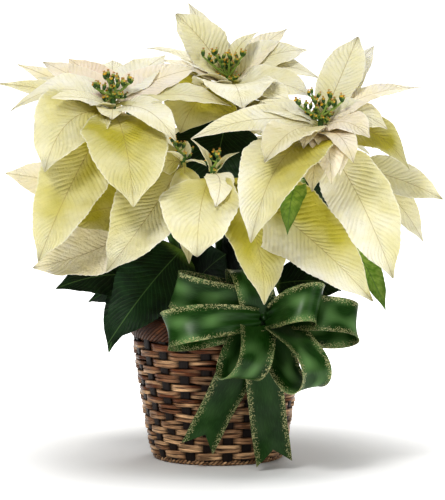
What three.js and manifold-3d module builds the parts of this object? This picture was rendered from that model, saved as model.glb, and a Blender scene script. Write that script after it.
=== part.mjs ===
// A white poinsettia growing in a liner pot, set in a round woven basket with a ribbon bow.
// Millimetres, +Z up. The front, with the bow, faces -Y. The origin is the centre of the basket's underside.
import * as THREE from "three";
import { mergeVertices } from "three/addons/utils/BufferGeometryUtils.js";
import Module from "manifold-3d";

const wasm = await Module();
wasm.setup();

// ---- Driving dimensions --------------------------------------------------------------------------------

const GAP = 0.35; // between pieces that rest on or stand in each other

const BASKET = {
  footRadius: 66, // outside, at the floor
  rimRadius: 87.5, // outside, under the border
  wallTop: 126,
  wall: 6,
  stakes: 22, // upright reeds, an even number for plain weave
  rows: 15, // rounds of weaving
  floatOut: 2, // how far a weaver stands out where it passes in front of a stake
  footHeight: 6,
  baseThick: 5,
};

const RIM = { radius: 84, halfDepth: 8, halfHeight: 11.5, strands: 20, ridge: 1.1, segments: 60, sides: 6 };

const POT = { topRadius: 71, baseRadius: 53, height: 128, wall: 2, lipOut: 3, lipHeight: 12, segments: 28 };

const SOIL = { below: 14, crown: 5, segments: 24 }; // its edge lies this far below the pot's lip

const BLADE = { thick: 2.2, stalkHalf: 1.5, shortLength: 108 };
const STATIONS = [0, 0.14, 0.28, 0.44, 0.62, 0.82]; // shares of the length, from the stalk's end
const SHORT_STATIONS = [0, 0.18, 0.38, 0.6, 0.82]; // the same for a blade under BLADE.shortLength

const STEM = { radius: 5.2, branchRadius: 3.6, tipRadius: 3, sunk: 45, top: 176, sides: 6, stepsEach: 2 };

// The end of a stem that the bracts grow from. Each bract's root is one step below the one above it.
const HUB = { radius: 4.2, inset: 1.4, step: 1.2, below: 6, above: 4, sides: 7 };

const CYATHIUM = { radius: 2.9, height: 6.4, sides: 5, aside: 1.2, step: 4.4, fork: 1.7, crown: 1.8 };

const RIBBON = {
  width: 38,
  thick: 1.1,
  loopStations: 12,
  tailStations: 8,
  knot: 13,
  pinch: 0.22, // its width at the knot, as a share of its full width
  ends: 0.07, // how much of each end of a loop's course is inside the knot
};
const PICK = { radius: 1.2, sides: 6, stepsEach: 2 }; // the wire that holds the bow, pushed into the soil
const GOLDEN_TURN = 137.508; // degrees from each leaf round the stem to the next

// ---- Bracts --------------------------------------------------------------------------------------------
// turn is seen from above in degrees from +X towards +Y, so 270 faces the front. reach is level and rise is
// upwards, both from the bloom's centre to the blade's tip, in millimetres, and wide is its widest.
// arch lifts the midrib over the straight line from base to tip, and bend moves it sideways, as shares of
// that line. face turns the upper face from straight up (0) to the front (1). fold lifts the margins as a
// share of the half width, and wave ripples them as a share of the width.

const BRACT = { arch: 0.12, bend: 0, crest: 0.42, face: 0, fold: 0.12, wave: 0.035, waves: 1.8 };
const BRACT_OUTLINE = { widest: 0.38, taper: 1.0, shoulder: 0.06, stalk: 0.12 };

const BLOOMS = {
  A: {
    centre: [-107, -60, 378],
    bracts: [
      { turn: 55, reach: 91, rise: 44, wide: 44, arch: 0.04, face: 0.4 },
      { turn: 122, reach: 95, rise: 40, wide: 46, arch: 0.04, face: 0.4 },
      { turn: 93, reach: 95, rise: 39, wide: 40, arch: 0.05, face: 0.2 },
      { turn: 142, reach: 97, rise: 37, wide: 42, arch: 0.03, face: 0.4 },
      { turn: 30, reach: 99, rise: 30, wide: 44, arch: 0.06, face: 0.5 },
      { turn: 151, reach: 92, rise: 20, wide: 34, arch: 0.08, face: 0.3 },
      { turn: 8, reach: 122, rise: -8, wide: 54, arch: 0.1, face: 0.4 },
      { turn: 212, reach: 72, rise: 0, wide: 26, arch: 0.07, face: 0.4 },
      { turn: 175, reach: 106, rise: -14, wide: 42, arch: 0.2, face: 0.4 },
      { turn: 232, reach: 36, rise: -8, wide: 16, arch: 0.1 },
      { turn: 317, reach: 84, rise: -42, wide: 42, arch: 0.17, face: 0.4 },
      { turn: 271, reach: 40, rise: -22, wide: 26, arch: 0.15 },
      { turn: 218, reach: 84, rise: -74, wide: 78, arch: 0.23, face: 0.6 },
      { turn: 285, reach: 93, rise: -107, wide: 88, arch: 0.14, widest: 0.44 },
      { turn: 208, reach: 84, rise: -165, wide: 72, arch: 0.03, face: 0.75, stalk: 0.15 },
    ],
  },
  B: {
    centre: [11, 30, 397],
    bracts: [
      { turn: 170, reach: 57, rise: 69, wide: 46, arch: 0.06, face: 0.7 },
      { turn: 43, reach: 44, rise: 50, wide: 24, arch: 0.2, face: 0.2 },
      { turn: 126, reach: 74, rise: 82, wide: 34, arch: 0.05, face: 0.4 },
      { turn: 43, reach: 87, rise: 54, wide: 36, arch: 0.06, face: 0.4 },
      { turn: 161, reach: 93, rise: 33, wide: 40, arch: 0.1, face: 0.2 },
      { turn: 25, reach: 94, rise: 31, wide: 50, arch: 0.12, face: 0.5 },
      { turn: 196, reach: 75, rise: 20, wide: 30, arch: 0.06, face: 0.3 },
      { turn: 226, reach: 49, rise: 3, wide: 22, arch: 0.14 },
      { turn: 14, reach: 103, rise: -1, wide: 46, arch: 0.2, face: 0.4 },
      { turn: 327, reach: 102, rise: -18, wide: 52, arch: 0.12, face: 0.45 },
      { turn: 310, reach: 98, rise: -22, wide: 50, arch: 0.07, face: 0.3 },
      { turn: 242, reach: 62, rise: -14, wide: 26, arch: 0.19 },
      { turn: 277, reach: 114, rise: -30, wide: 88, arch: 0.14 },
      { turn: 227, reach: 68, rise: -57, wide: 82, arch: 0.2, face: 0.5 },
    ],
  },
  C: {
    centre: [104, -80, 356],
    bracts: [
      { turn: 59, reach: 81, rise: 85, wide: 42, arch: 0, face: 0.5 },
      { turn: 61, reach: 126, rise: 76, wide: 44, arch: 0.05, face: 0.4 },
      { turn: 162, reach: 66, rise: 19, wide: 20, arch: 0.09, face: 0.4 },
      { turn: 21, reach: 113, rise: 32, wide: 36, arch: 0.1, face: 0.3 },
      { turn: 176, reach: 81, rise: 10, wide: 24, arch: 0.1, face: 0.4 },
      { turn: 189, reach: 133, rise: -19, wide: 34, arch: 0.1, face: 0.5 },
      { turn: 0, reach: 68, rise: -10, wide: 44, arch: 0.23, face: 0.5 },
      { turn: 328, reach: 57, rise: -18, wide: 44, arch: 0.2, face: 0.4 },
      { turn: 234, reach: 99, rise: -41, wide: 54, arch: 0.14, face: 0.2 },
      { turn: 249, reach: 54, rise: -28, wide: 26, arch: 0.18 },
      { turn: 12, reach: 94, rise: -52, wide: 54, arch: 0.2, face: 0.5 },
      { turn: 297, reach: 67, rise: -42, wide: 34, arch: 0.18, face: 0.2 },
      { turn: 287, reach: 58, rise: -55, wide: 30, arch: 0.2 },
      { turn: 261, reach: 71, rise: -70, wide: 24, arch: 0.1 },
      { turn: 233, reach: 119, rise: -119, wide: 84, arch: 0.17, face: 0.2, widest: 0.3 },
      { turn: 278, reach: 61, rise: -63, wide: 26, arch: 0.24 },
      { turn: 334, reach: 80, rise: -159, wide: 72, arch: 0.04, face: 0.7, stalk: 0.12 },
    ],
  },
  D: {
    centre: [-5, -90, 305],
    bracts: [
      { turn: 157, reach: 25, rise: 32, wide: 14 },
      { turn: 29, reach: 31, rise: 18, wide: 16 },
      { turn: 273, reach: 50, rise: -35, wide: 30, arch: 0.15, bend: -0.1 },
      { turn: 348, reach: 164, rise: -130, wide: 66, arch: 0.05, face: 0.75, stalk: 0.25 },
      { turn: 253, reach: 52, rise: -84, wide: 82, arch: 0.1, widest: 0.48, taper: 0.72 },
      { turn: 316, reach: 71, rise: -132, wide: 76, arch: 0.1, bend: -0.06, face: 0.4 },
    ],
  },
  E: {
    centre: [-35, -75, 317],
    bracts: [
      { turn: 77, reach: 15, rise: 17, wide: 14 },
      { turn: 223, reach: 25, rise: 7, wide: 14 },
      { turn: 337, reach: 26, rise: -8, wide: 16 },
      { turn: 290, reach: 36, rise: -106, wide: 38, arch: 0.04 },
      { turn: 198, reach: 33, rise: -12, wide: 26, face: 0.4 },
      { turn: 213, reach: 91, rise: -112, wide: 82, arch: -0.02, face: 0.5 },
    ],
  },
  H: {
    centre: [-70, -35, 258],
    bracts: [
      { turn: 171, reach: 154, rise: 41, wide: 34, arch: 0.08, face: 0.5, stalk: 0.3 },
      { turn: 186, reach: 89, rise: -12, wide: 46, arch: 0.17, face: 0.6 },
      { turn: 193, reach: 123, rise: -54, wide: 46, arch: 0.04, face: 0.6, stalk: 0.15 },
    ],
  },
  R: {
    centre: [139, 10, 304],
    bracts: [
      { turn: 342, reach: 100, rise: -32, wide: 46, arch: 0.05, face: 0.6 },
      { turn: 0, reach: 77, rise: -78, wide: 44, arch: 0.09, face: 0.6 },
    ],
  },
};

// The blooms at the back follow a rule. Each bract turns on by the golden turn, longer and lower than the one
// above it, and lowest where it faces the back. own gives the bracts that grow otherwise.
const BACK = {
  count: 11, inner: 46, outer: 98, innerWide: 26, outerWide: 66, top: 24, drop: 92, sideways: 0.35,
};
const BACK_BLOOMS = {
  K1: {
    centre: [-92, 90, 346],
    turnFrom: 35,
    own: {
      1: { turn: 171, reach: 129, rise: 67, wide: 32, arch: 0.05, face: 0.7 },
      9: { turn: 184, reach: 146, rise: 46, wide: 30, arch: 0.1, face: 0.7 },
    },
  },
  K2: { centre: [72, 92, 338], turnFrom: 80 },
  K3: { centre: [10, 132, 370], turnFrom: 215 },
};

for (const [name, { centre, turnFrom, own = {} }] of Object.entries(BACK_BLOOMS)) {
  const bracts = [];
  for (let i = 0; i < BACK.count; i += 1) {
    const share = i / (BACK.count - 1);
    const turn = (turnFrom + GOLDEN_TURN * i) % 360;
    const facing = BACK.sideways + (1 - BACK.sideways) * Math.max(0, Math.sin((turn * Math.PI) / 180));
    bracts.push({
      turn,
      reach: BACK.inner + (BACK.outer - BACK.inner) * Math.sqrt(share),
      rise: BACK.top - BACK.drop * facing * share,
      wide: BACK.innerWide + (BACK.outerWide - BACK.innerWide) * share,
      arch: 0.15,
      ...own[i],
    });
  }
  BLOOMS[name] = { centre, bracts };
}

// Where the cyathia stand: the ends of the forks over the bloom's centre, and how many stand round each.
const FORKS = {
  A: { each: 3, ends: [[-15, -5, 12], [-4, 2, 20], [5, -8, 13], [13, -3, 17]] },
  B: { each: 3, ends: [[-22, -16, 26], [-4, -12, 24], [14, -14, 24]] },
  C: { each: 3, ends: [[-22, -4, 14], [-9, -2, 26], [9, -4, 22], [21, -6, 18]] },
  D: { each: 3, ends: [[6, -8, 15]] },
  E: { each: 3, ends: [[-9, -9, 15]] },
  H: { each: 2, ends: [[0, 0, 10]] },
  R: { each: 3, ends: [[1, 0, 16]] },
  K1: { each: 2, ends: [[-5, 3, 18], [5, 1, 20]] },
  K2: { each: 2, ends: [[-5, 3, 18], [5, 1, 20]] },
  K3: { each: 2, ends: [[-5, 3, 18], [5, 1, 20]] },
};

// ---- Stems and green leaves ----------------------------------------------------------------------------
// Three plants share the pot. Each stands upright in the soil, then forks. A branch passes its points on the
// way to its bloom, and leaves are given as bracts are, from their root on the stem.

const LEAF = { arch: 0.16, bend: 0, crest: 0.42, face: 0, fold: 0.16, wave: 0.03, waves: 1.7 };
const LEAF_OUTLINE = { widest: 0.4, taper: 0.95, shoulder: 0.12, stalk: 0.3 };

const STEMS = {
  left: {
    foot: [-32, -4],
    branches: {
      A: [[-46, -30, 225], [-78, -58, 310]],
      E: [[-33, -40, 225], [-35, -66, 278]],
      H: [[-50, -8, 205]],
      K1: [[-50, 36, 240], [-66, 62, 278]],
    },
    leaves: [
      { root: [-32, -4, 160], turn: 152, reach: 122, rise: 14, wide: 58 },
      { root: [-32, -4, 168], turn: 118, reach: 112, rise: -8, wide: 60 },
      { root: [-66, 62, 278], turn: 165, reach: 108, rise: -52, wide: 58 },
      { root: [-33, -40, 225], turn: 204, reach: 87, rise: -98, wide: 66, face: 0.7, stalk: 0.12 },
      { root: [-32, -4, 172], turn: 215, reach: 98, rise: -56, wide: 50, arch: 0.28, face: 0.5 },
      { root: [-32, -4, 162], turn: 193, reach: 140, rise: 26, wide: 56, face: 0.5, shoulder: 0.3 },
      { root: [-32, -4, 170], turn: 308, reach: 66, rise: 48, wide: 50, arch: 0.06, face: 0.8 },
    ],
  },
  middle: {
    foot: [2, 22],
    branches: {
      B: [[3, 23, 214], [9, 28, 330]],
      D: [[0, -20, 235], [-4, -78, 275]],
      K3: [[4, 56, 250], [5, 84, 286]],
    },
    leaves: [
      { root: [2, 22, 164], turn: 84, reach: 124, rise: 10, wide: 62 },
      { root: [4, 56, 250], turn: 112, reach: 116, rise: -52, wide: 62 },
      { root: [5, 84, 286], turn: 72, reach: 112, rise: -58, wide: 60 },
      { root: [11, 30, 359], turn: 250, reach: 56, rise: -72, wide: 84, arch: 0.04, face: 0.85, stalk: 0.1 },
      { root: [2, 22, 172], turn: 300, reach: 84, rise: 40, wide: 60, arch: 0.08, face: 0.8 },
    ],
  },
  right: {
    foot: [34, -8],
    branches: {
      C: [[56, -34, 225], [88, -68, 300]],
      R: [[80, 0, 225], [106, 4, 252]],
      K2: [[46, 24, 235], [60, 56, 277]],
    },
    leaves: [
      { root: [34, -8, 160], turn: 38, reach: 126, rise: 8, wide: 60 },
      { root: [34, -8, 166], turn: 352, reach: 126, rise: 6, wide: 56 },
      { root: [60, 56, 277], turn: 34, reach: 104, rise: -46, wide: 58 },
      { root: [34, -8, 172], turn: 326, reach: 122, rise: 14, wide: 50, arch: 0.08, face: 0.7 },
      { root: [88, -68, 300], turn: 252, reach: 60, rise: -58, wide: 26, arch: 0.2, face: 0.6, stalk: 0.2 },
      { root: [106, 4, 252], turn: 316, reach: 92, rise: -92, wide: 30, arch: 0.1, face: 0.6 },
    ],
  },
};

// ---- Bow -----------------------------------------------------------------------------------------------
// A loop runs from the knot out to its far end and back. behind is how far behind the knot's middle it
// starts, open is how far its two legs part, and wide is the way its far end lies, which may slant across
// the ribbon.

const KNOT = [47, -120, 158];

const LOOPS = [
  { to: [-42, -105, 188], behind: 8, open: 24, wide: [0.4, -0.1, 1] },
  { to: [-51, -128, 146], behind: -2, open: 32, wide: [-0.15, 0.35, 1] },
  { to: [33, -95, 206], behind: 11, open: 20, wide: [1, 0, 0.2] },
  { to: [99, -140, 175], behind: -4, open: 24, wide: [0.18, 0.35, 1] },
  { to: [139, -108, 151], behind: 6, open: 42, wide: [-0.09, 0.5, 1] },
  { to: [14, -150, 99], behind: -9, open: 30, wide: [1, 0.35, -0.18] },
  { to: [91, -152, 96], behind: -8, open: 30, wide: [1, 0.5, 0.07] },
];

// A tail runs from the knot through its points, and across is the way its width lies at the cut end.
const TAILS = [
  { points: [[30, -103, 122], [3, -94, 68], [-20, -92, 21]], across: [1, 0.5, -0.3], notch: 17 },
  { points: [[46, -104, 112], [51, -97, 58], [58, -98, 7]], across: [1, 0.25, -0.1], notch: 15 },
];

const PICK_ROUTE = [[47, -104.2, 160], [44, -88, 166], [38, -68, 160], [32, -52, 138], [30, -46, 92]];

// ---- Helpers -------------------------------------------------------------------------------------------

const radians = THREE.MathUtils.degToRad;
const vector = ([x, y, z]) => new THREE.Vector3(x, y, z);

// A closed geometry as a solid.
function solid(geometry) {
  const bare = geometry.clone();
  bare.deleteAttribute("normal");
  bare.deleteAttribute("uv");
  const merged = mergeVertices(bare, 1e-4);
  const vertProperties = new Float32Array(merged.attributes.position.array);
  const triVerts = new Uint32Array(merged.index.array);
  return new wasm.Manifold(new wasm.Mesh({ numProp: 3, vertProperties, triVerts }));
}

// A geometry from points and the triangles between them, with its faces out.
function geometryOf(points, triangles) {
  let volume = 0;
  for (const [a, b, c] of triangles) {
    volume += points[a].clone().cross(points[b]).dot(points[c]);
  }
  const faces = volume > 0 ? triangles : triangles.map(([a, b, c]) => [a, c, b]);
  const geometry = new THREE.BufferGeometry();
  geometry.setAttribute("position", new THREE.Float32BufferAttribute(points.flatMap((p) => p.toArray()), 3));
  geometry.setIndex(faces.flat());
  return geometry;
}

// A closed skin over rings of points. The first and last rings are closed by a fan round their middle.
function skin(rings) {
  const points = rings.flat();
  const sides = rings[0].length;
  const triangles = [];
  for (let i = 0; i < rings.length - 1; i += 1) {
    for (let j = 0; j < sides; j += 1) {
      const a = i * sides + j;
      const b = i * sides + ((j + 1) % sides);
      triangles.push([a, b, b + sides], [a, b + sides, a + sides]);
    }
  }
  const last = (rings.length - 1) * sides;
  for (let j = 1; j < sides - 1; j += 1) {
    triangles.push([0, j + 1, j], [last, last + j, last + j + 1]);
  }
  return geometryOf(points, triangles);
}

// A round tube along a smooth curve, thinning from one end to the other. Each point has a ring, and each
// stretch between two points has this many steps.
function taperedTube(points, startRadius, endRadius, sides, stepsEach = 1) {
  const curve = new THREE.CatmullRomCurve3(points);
  const steps = (points.length - 1) * stepsEach;
  const rings = [];
  for (let i = 0; i <= steps; i += 1) {
    const centre = curve.getPoint(i / steps);
    const tangent = curve.getTangent(i / steps);
    const side = new THREE.Vector3(1, 0, 0).addScaledVector(tangent, -tangent.x).normalize();
    const top = tangent.cross(side);
    const radius = THREE.MathUtils.lerp(startRadius, endRadius, i / steps);
    const ring = [];
    for (let j = 0; j < sides; j += 1) {
      const angle = (j / sides) * Math.PI * 2;
      const point = centre.clone().addScaledVector(side, radius * Math.cos(angle));
      ring.push(point.addScaledVector(top, radius * Math.sin(angle)));
    }
    rings.push(ring);
  }
  return skin(rings);
}

// ---- Blades --------------------------------------------------------------------------------------------

// Half the width at a share of the length from the stalk's end to the tip, as a share of the widest.
function outline(share, { widest, taper, shoulder }) {
  const swell = (taper * widest) / (1 - widest);
  const smooth = (share / widest) ** swell * ((1 - share) / (1 - widest)) ** taper;
  const point = Math.max(0, 1 - Math.abs(share - widest) / 0.16);
  return smooth * (1 + shoulder * point);
}

// A leaf or bract from base to tip: a thin rhombus in section, sharp at its margins and thick at its rib.
function blade(base, tip, leaf, shape) {
  const { wide, arch, bend, crest, face, fold, wave, waves } = leaf;
  const chord = tip.clone().sub(base);
  const length = chord.length();
  const along = chord.clone().divideScalar(length);
  const over = new THREE.Vector3(0, 0, 1).addScaledVector(along, -along.z).normalize();
  const aside = along.clone().cross(over);
  const front = new THREE.Vector3(0, -1, 0);
  const up = over.clone().multiplyScalar(1 - face).addScaledVector(front, face);
  const across = along.clone().cross(up).normalize();
  const middle = base
    .clone()
    .addScaledVector(chord, crest)
    .addScaledVector(over, 2 * arch * length)
    .addScaledVector(aside, 2 * bend * length);
  const midrib = new THREE.QuadraticBezierCurve3(base, middle, tip);
  const points = [base.clone()];
  for (const station of length < BLADE.shortLength ? SHORT_STATIONS : STATIONS) {
    const u = shape.stalk + (1 - shape.stalk) * station;
    const rib = midrib.getPoint(u);
    const tangent = midrib.getTangent(u);
    const side = across.clone().addScaledVector(tangent, -across.dot(tangent)).normalize();
    const top = side.clone().cross(tangent);
    const share = outline(station, shape);
    const half = Math.max((wide / 2) * share, BLADE.stalkHalf);
    const thick = BLADE.thick * Math.min(1, 0.45 + share);
    const ripple = (phase) => wave * wide * share * Math.sin(2 * Math.PI * (waves * station + phase));
    points.push(
      rib.clone().addScaledVector(side, -half).addScaledVector(top, fold * half + ripple(0)),
      rib.clone().addScaledVector(top, thick / 2),
      rib.clone().addScaledVector(side, half).addScaledVector(top, fold * half + ripple(0.37)),
      rib.clone().addScaledVector(top, -thick / 2),
    );
  }
  points.push(tip.clone());
  const triangles = [];
  const last = points.length - 1;
  for (let j = 0; j < 4; j += 1) {
    const k = (j + 1) % 4;
    triangles.push([0, 1 + k, 1 + j], [last, last - 4 + j, last - 4 + k]);
    for (let i = 1; i < last - 4; i += 4) {
      // The diagonals start from the margins on both faces, so that the two faces never cross.
      const [a, b, c, d] = [i + j, i + k, i + 4 + k, i + 4 + j];
      if (j % 2 === 0) {
        triangles.push([a, b, c], [a, c, d]);
      } else {
        triangles.push([a, b, d], [b, c, d]);
      }
    }
  }
  return solid(geometryOf(points, triangles));
}

function bractSolid(centre, bract, index) {
  const leaf = { ...BRACT, ...bract };
  const heading = new THREE.Vector3(Math.cos(radians(leaf.turn)), Math.sin(radians(leaf.turn)), 0);
  const base = centre.clone().addScaledVector(heading, HUB.radius - HUB.inset);
  base.z -= HUB.step * (index + 1);
  const tip = centre.clone().addScaledVector(heading, leaf.reach).add(new THREE.Vector3(0, 0, leaf.rise));
  return blade(base, tip, leaf, { ...BRACT_OUTLINE, ...bract });
}

// How far below its centre a bloom's hub ends.
function hubDepth(bloom) {
  return HUB.step * bloom.bracts.length + HUB.below;
}

function bloomSolid(bloom) {
  const centre = vector(bloom.centre);
  const low = centre.clone().setZ(centre.z - hubDepth(bloom));
  const high = centre.clone().setZ(centre.z + HUB.above);
  const hub = solid(taperedTube([low, high], HUB.radius, HUB.radius, HUB.sides));
  const bracts = bloom.bracts.map((bract, index) => bractSolid(centre, bract, index));
  return wasm.Manifold.union([hub, ...bracts]);
}

// ---- Cyathia -------------------------------------------------------------------------------------------

// One green cup. Its gland is the lip that stands out on one side.
function cyathium(foot, lean, turn) {
  const { radius, height, sides } = CYATHIUM;
  const up = new THREE.Vector3(lean.x, lean.y, 1).normalize();
  const turned = new THREE.Quaternion().setFromUnitVectors(new THREE.Vector3(0, 0, 1), up);
  const rings = [[0.5, 0], [1, 1]].map(([share, rise]) => {
    const ring = [];
    for (let j = 0; j < sides; j += 1) {
      const angle = (j / sides) * Math.PI * 2 + turn;
      const reach = radius * share * (j === 0 && rise === 1 ? 1.8 : 1);
      const point = new THREE.Vector3(reach * Math.cos(angle), reach * Math.sin(angle), height * rise);
      ring.push(point.applyQuaternion(turned).add(foot));
    }
    return ring;
  });
  return solid(skin(rings));
}

// Forked green stalks with a cup on each end and others on alternate sides below it.
function cyathiaSolid(bloom, forks) {
  const base = vector(bloom.centre);
  base.z += HUB.above + GAP;
  const crown = base.clone().setZ(base.z + 2.6);
  const pieces = [solid(taperedTube([base, crown], CYATHIUM.crown, CYATHIUM.crown, HUB.sides))];
  forks.ends.forEach((end, fork) => {
    const tip = vector(bloom.centre).add(vector(end));
    const start = base.clone().setZ(base.z + 1.8);
    const back = start.clone().sub(tip).normalize();
    pieces.push(solid(taperedTube([start, tip], CYATHIUM.fork, CYATHIUM.fork, 3)));
    pieces.push(cyathium(tip.clone().setZ(tip.z - 1), new THREE.Vector3(), fork));
    for (let i = 1; i < forks.each; i += 1) {
      const angle = radians(GOLDEN_TURN * (i + 1.7 * fork));
      const lean = new THREE.Vector3(Math.cos(angle), Math.sin(angle), 0);
      const foot = tip.clone().addScaledVector(back, CYATHIUM.step * (i - 0.4));
      foot.addScaledVector(lean, CYATHIUM.aside);
      pieces.push(cyathium(foot, lean, angle));
    }
  });
  return wasm.Manifold.union(pieces);
}

// ---- Leafy stems ---------------------------------------------------------------------------------------

const potFloor = BASKET.baseThick + GAP;
const potTop = potFloor + POT.height;
const soilEdge = potTop - SOIL.below;
const soilTop = soilEdge + SOIL.crown;

function stemSolid(stem) {
  const foot = new THREE.Vector3(...stem.foot, soilTop - STEM.sunk);
  const fork = new THREE.Vector3(...stem.foot, STEM.top);
  const pieces = [solid(taperedTube([foot, fork], STEM.radius, STEM.radius, STEM.sides))];
  for (const [bloom, way] of Object.entries(stem.branches)) {
    const end = vector(BLOOMS[bloom].centre);
    end.z -= hubDepth(BLOOMS[bloom]) + GAP;
    const start = fork.clone().setZ(fork.z - 8);
    const points = [start, ...way.map(vector), end.clone().setZ(end.z - 14), end];
    pieces.push(solid(taperedTube(points, STEM.branchRadius, STEM.tipRadius, STEM.sides, STEM.stepsEach)));
  }
  for (const entry of stem.leaves) {
    const leaf = { ...LEAF, ...entry };
    const heading = new THREE.Vector3(Math.cos(radians(leaf.turn)), Math.sin(radians(leaf.turn)), 0);
    const root = vector(leaf.root);
    const tip = root.clone().addScaledVector(heading, leaf.reach).add(new THREE.Vector3(0, 0, leaf.rise));
    pieces.push(blade(root, tip, leaf, { ...LEAF_OUTLINE, ...entry }));
  }
  return wasm.Manifold.union(pieces);
}

// ---- Basket, pot and soil ------------------------------------------------------------------------------

function lathe(profile, segments) {
  const points = profile.map(([radius, height]) => new THREE.Vector2(radius, height));
  const geometry = new THREE.LatheGeometry(points, segments);
  geometry.rotateX(Math.PI / 2);
  return geometry;
}

function basketRadius(height) {
  return THREE.MathUtils.lerp(BASKET.footRadius, BASKET.rimRadius, (height / BASKET.wallTop) ** 0.8);
}

// The woven wall. Each row of weaving passes in front of every other stake, and the next row in front of
// the stakes between.
function basketWall() {
  const { stakes, rows, floatOut, wall, footHeight, wallTop } = BASKET;
  const bottom = footHeight + GAP;
  const columns = stakes * 2;
  const rings = [];
  const ring = (height, radiusAt) => {
    const points = [];
    for (let column = 0; column < columns; column += 1) {
      const angle = (column / columns) * Math.PI * 2;
      const radius = radiusAt(column);
      points.push(new THREE.Vector3(radius * Math.cos(angle), radius * Math.sin(angle), height));
    }
    rings.push(points);
  };
  for (let row = 0; row < rows; row += 1) {
    const height = THREE.MathUtils.lerp(bottom, wallTop, row / (rows - 1));
    ring(height, (column) => basketRadius(height) + floatOut * Math.cos(Math.PI * (column / 2 + row)));
  }
  ring(wallTop, () => basketRadius(wallTop) - wall);
  ring(bottom, () => basketRadius(bottom) - wall);
  rings.push(rings[0]);
  return solid(closedLoop(rings));
}

// A tube of rings that closes on itself: the last ring is the first.
function closedLoop(rings) {
  const sides = rings[0].length;
  const loops = rings.length - 1;
  const triangles = [];
  for (let i = 0; i < loops; i += 1) {
    for (let j = 0; j < sides; j += 1) {
      const a = i * sides + j;
      const b = i * sides + ((j + 1) % sides);
      const c = ((i + 1) % loops) * sides + ((j + 1) % sides);
      const d = ((i + 1) % loops) * sides + j;
      triangles.push([a, b, c], [a, c, d]);
    }
  }
  return geometryOf(rings.slice(0, loops).flat(), triangles);
}

// The border is twisted round the top, so its section turns as it goes.
function basketRim() {
  const { radius, halfDepth, halfHeight, strands, ridge, segments, sides } = RIM;
  const height = BASKET.wallTop + GAP + halfHeight + ridge;
  const rings = [];
  for (let i = 0; i <= segments; i += 1) {
    const turn = (i / segments) * Math.PI * 2;
    const ring = [];
    for (let j = 0; j < sides; j += 1) {
      const angle = (j / sides) * Math.PI * 2;
      const swell = ridge * Math.cos(strands * turn + angle);
      const out = radius + (halfDepth + swell) * Math.cos(angle);
      const rise = (halfHeight + swell) * Math.sin(angle);
      ring.push(new THREE.Vector3(out * Math.cos(turn), out * Math.sin(turn), height + rise));
    }
    rings.push(ring);
  }
  return solid(closedLoop(rings));
}

function basketBase() {
  const { footRadius, footHeight, baseThick } = BASKET;
  const profile = [
    [0, 0],
    [footRadius - 2, 0],
    [footRadius + 1.5, 2],
    [footRadius + 1, footHeight - 1],
    [footRadius - 1, footHeight],
    [footRadius - 8, footHeight],
    [footRadius - 9, baseThick],
    [0, baseThick],
  ];
  return solid(lathe(profile, 28));
}

function linerPot() {
  const { topRadius, baseRadius, wall, lipOut, lipHeight, segments } = POT;
  const profile = [
    [0, potFloor],
    [baseRadius, potFloor],
    [topRadius - 1, potTop - lipHeight],
    [topRadius + lipOut, potTop - lipHeight],
    [topRadius + lipOut, potTop],
    [topRadius - wall + 1, potTop],
    [baseRadius - wall, potFloor + wall],
    [0, potFloor + wall],
  ];
  return solid(lathe(profile, segments));
}

function soilBody() {
  const { baseRadius, topRadius, wall } = POT;
  const floor = potFloor + wall + GAP;
  const share = (soilEdge - potFloor - wall) / (potTop - potFloor - wall);
  const edge = THREE.MathUtils.lerp(baseRadius, topRadius + 1, share) - wall - GAP * 2;
  const profile = [
    [0, floor],
    [baseRadius - wall - GAP * 2, floor],
    [edge, soilEdge],
    [edge * 0.55, soilTop - 1],
    [0, soilTop],
  ];
  let soil = solid(lathe(profile, SOIL.segments));
  for (const stem of Object.values(STEMS)) {
    const bottom = new THREE.Vector3(...stem.foot, soilTop - STEM.sunk - GAP);
    const top = new THREE.Vector3(...stem.foot, soilTop + 10);
    const radius = STEM.radius + GAP * 1.3;
    soil = soil.subtract(solid(taperedTube([bottom, top], radius, radius, STEM.sides)));
  }
  const [x, y, bottomOfPick] = PICK_ROUTE.at(-1);
  const deep = new THREE.Vector3(x, y, bottomOfPick - GAP);
  const hole = [deep, ...PICK_ROUTE.slice(0, -1).reverse().map(vector)];
  return soil.subtract(solid(taperedTube(hole, PICK.radius + 0.6, PICK.radius + 0.6, 6, PICK.stepsEach)));
}

// ---- Bow -----------------------------------------------------------------------------------------------

// The points round a ribbon at one station: its columns on the front, then back again on the back. A cut
// moves the middle column back up the ribbon.
function ribbonRing({ middle, across, out, half, cut }, columns) {
  const ring = [];
  for (const side of [1, -1]) {
    for (let k = 0; k < columns; k += 1) {
      const share = side * (1 - (2 * k) / (columns - 1));
      const point = middle.clone().addScaledVector(across, share * half);
      point.addScaledVector(out, (side * RIBBON.thick) / 2);
      if (cut && k === 1) {
        point.sub(cut);
      }
      ring.push(point);
    }
  }
  return ring;
}

// A ribbon over its stations, closed at both ends by strips between front and back. The faces of front and
// back are split alike.
function ribbonSolid(stations, columns) {
  const rings = stations.map((station) => ribbonRing(station, columns));
  const sides = columns * 2;
  const points = rings.flat();
  const triangles = [];
  for (let i = 0; i < rings.length - 1; i += 1) {
    for (let j = 0; j < sides; j += 1) {
      const a = i * sides + j;
      const b = i * sides + ((j + 1) % sides);
      if (j < columns - 1 || j === sides - 1) {
        triangles.push([a, b, b + sides], [a, b + sides, a + sides]);
      } else {
        triangles.push([a, b, a + sides], [b, b + sides, a + sides]);
      }
    }
  }
  for (let k = 0; k < columns - 1; k += 1) {
    const mirror = sides - 1 - k;
    const last = (rings.length - 1) * sides;
    triangles.push([k, mirror, k + 1], [k + 1, mirror, mirror - 1]);
    triangles.push([last + k, last + k + 1, last + mirror], [last + k + 1, last + mirror - 1, last + mirror]);
  }
  return solid(geometryOf(points, triangles));
}

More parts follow.
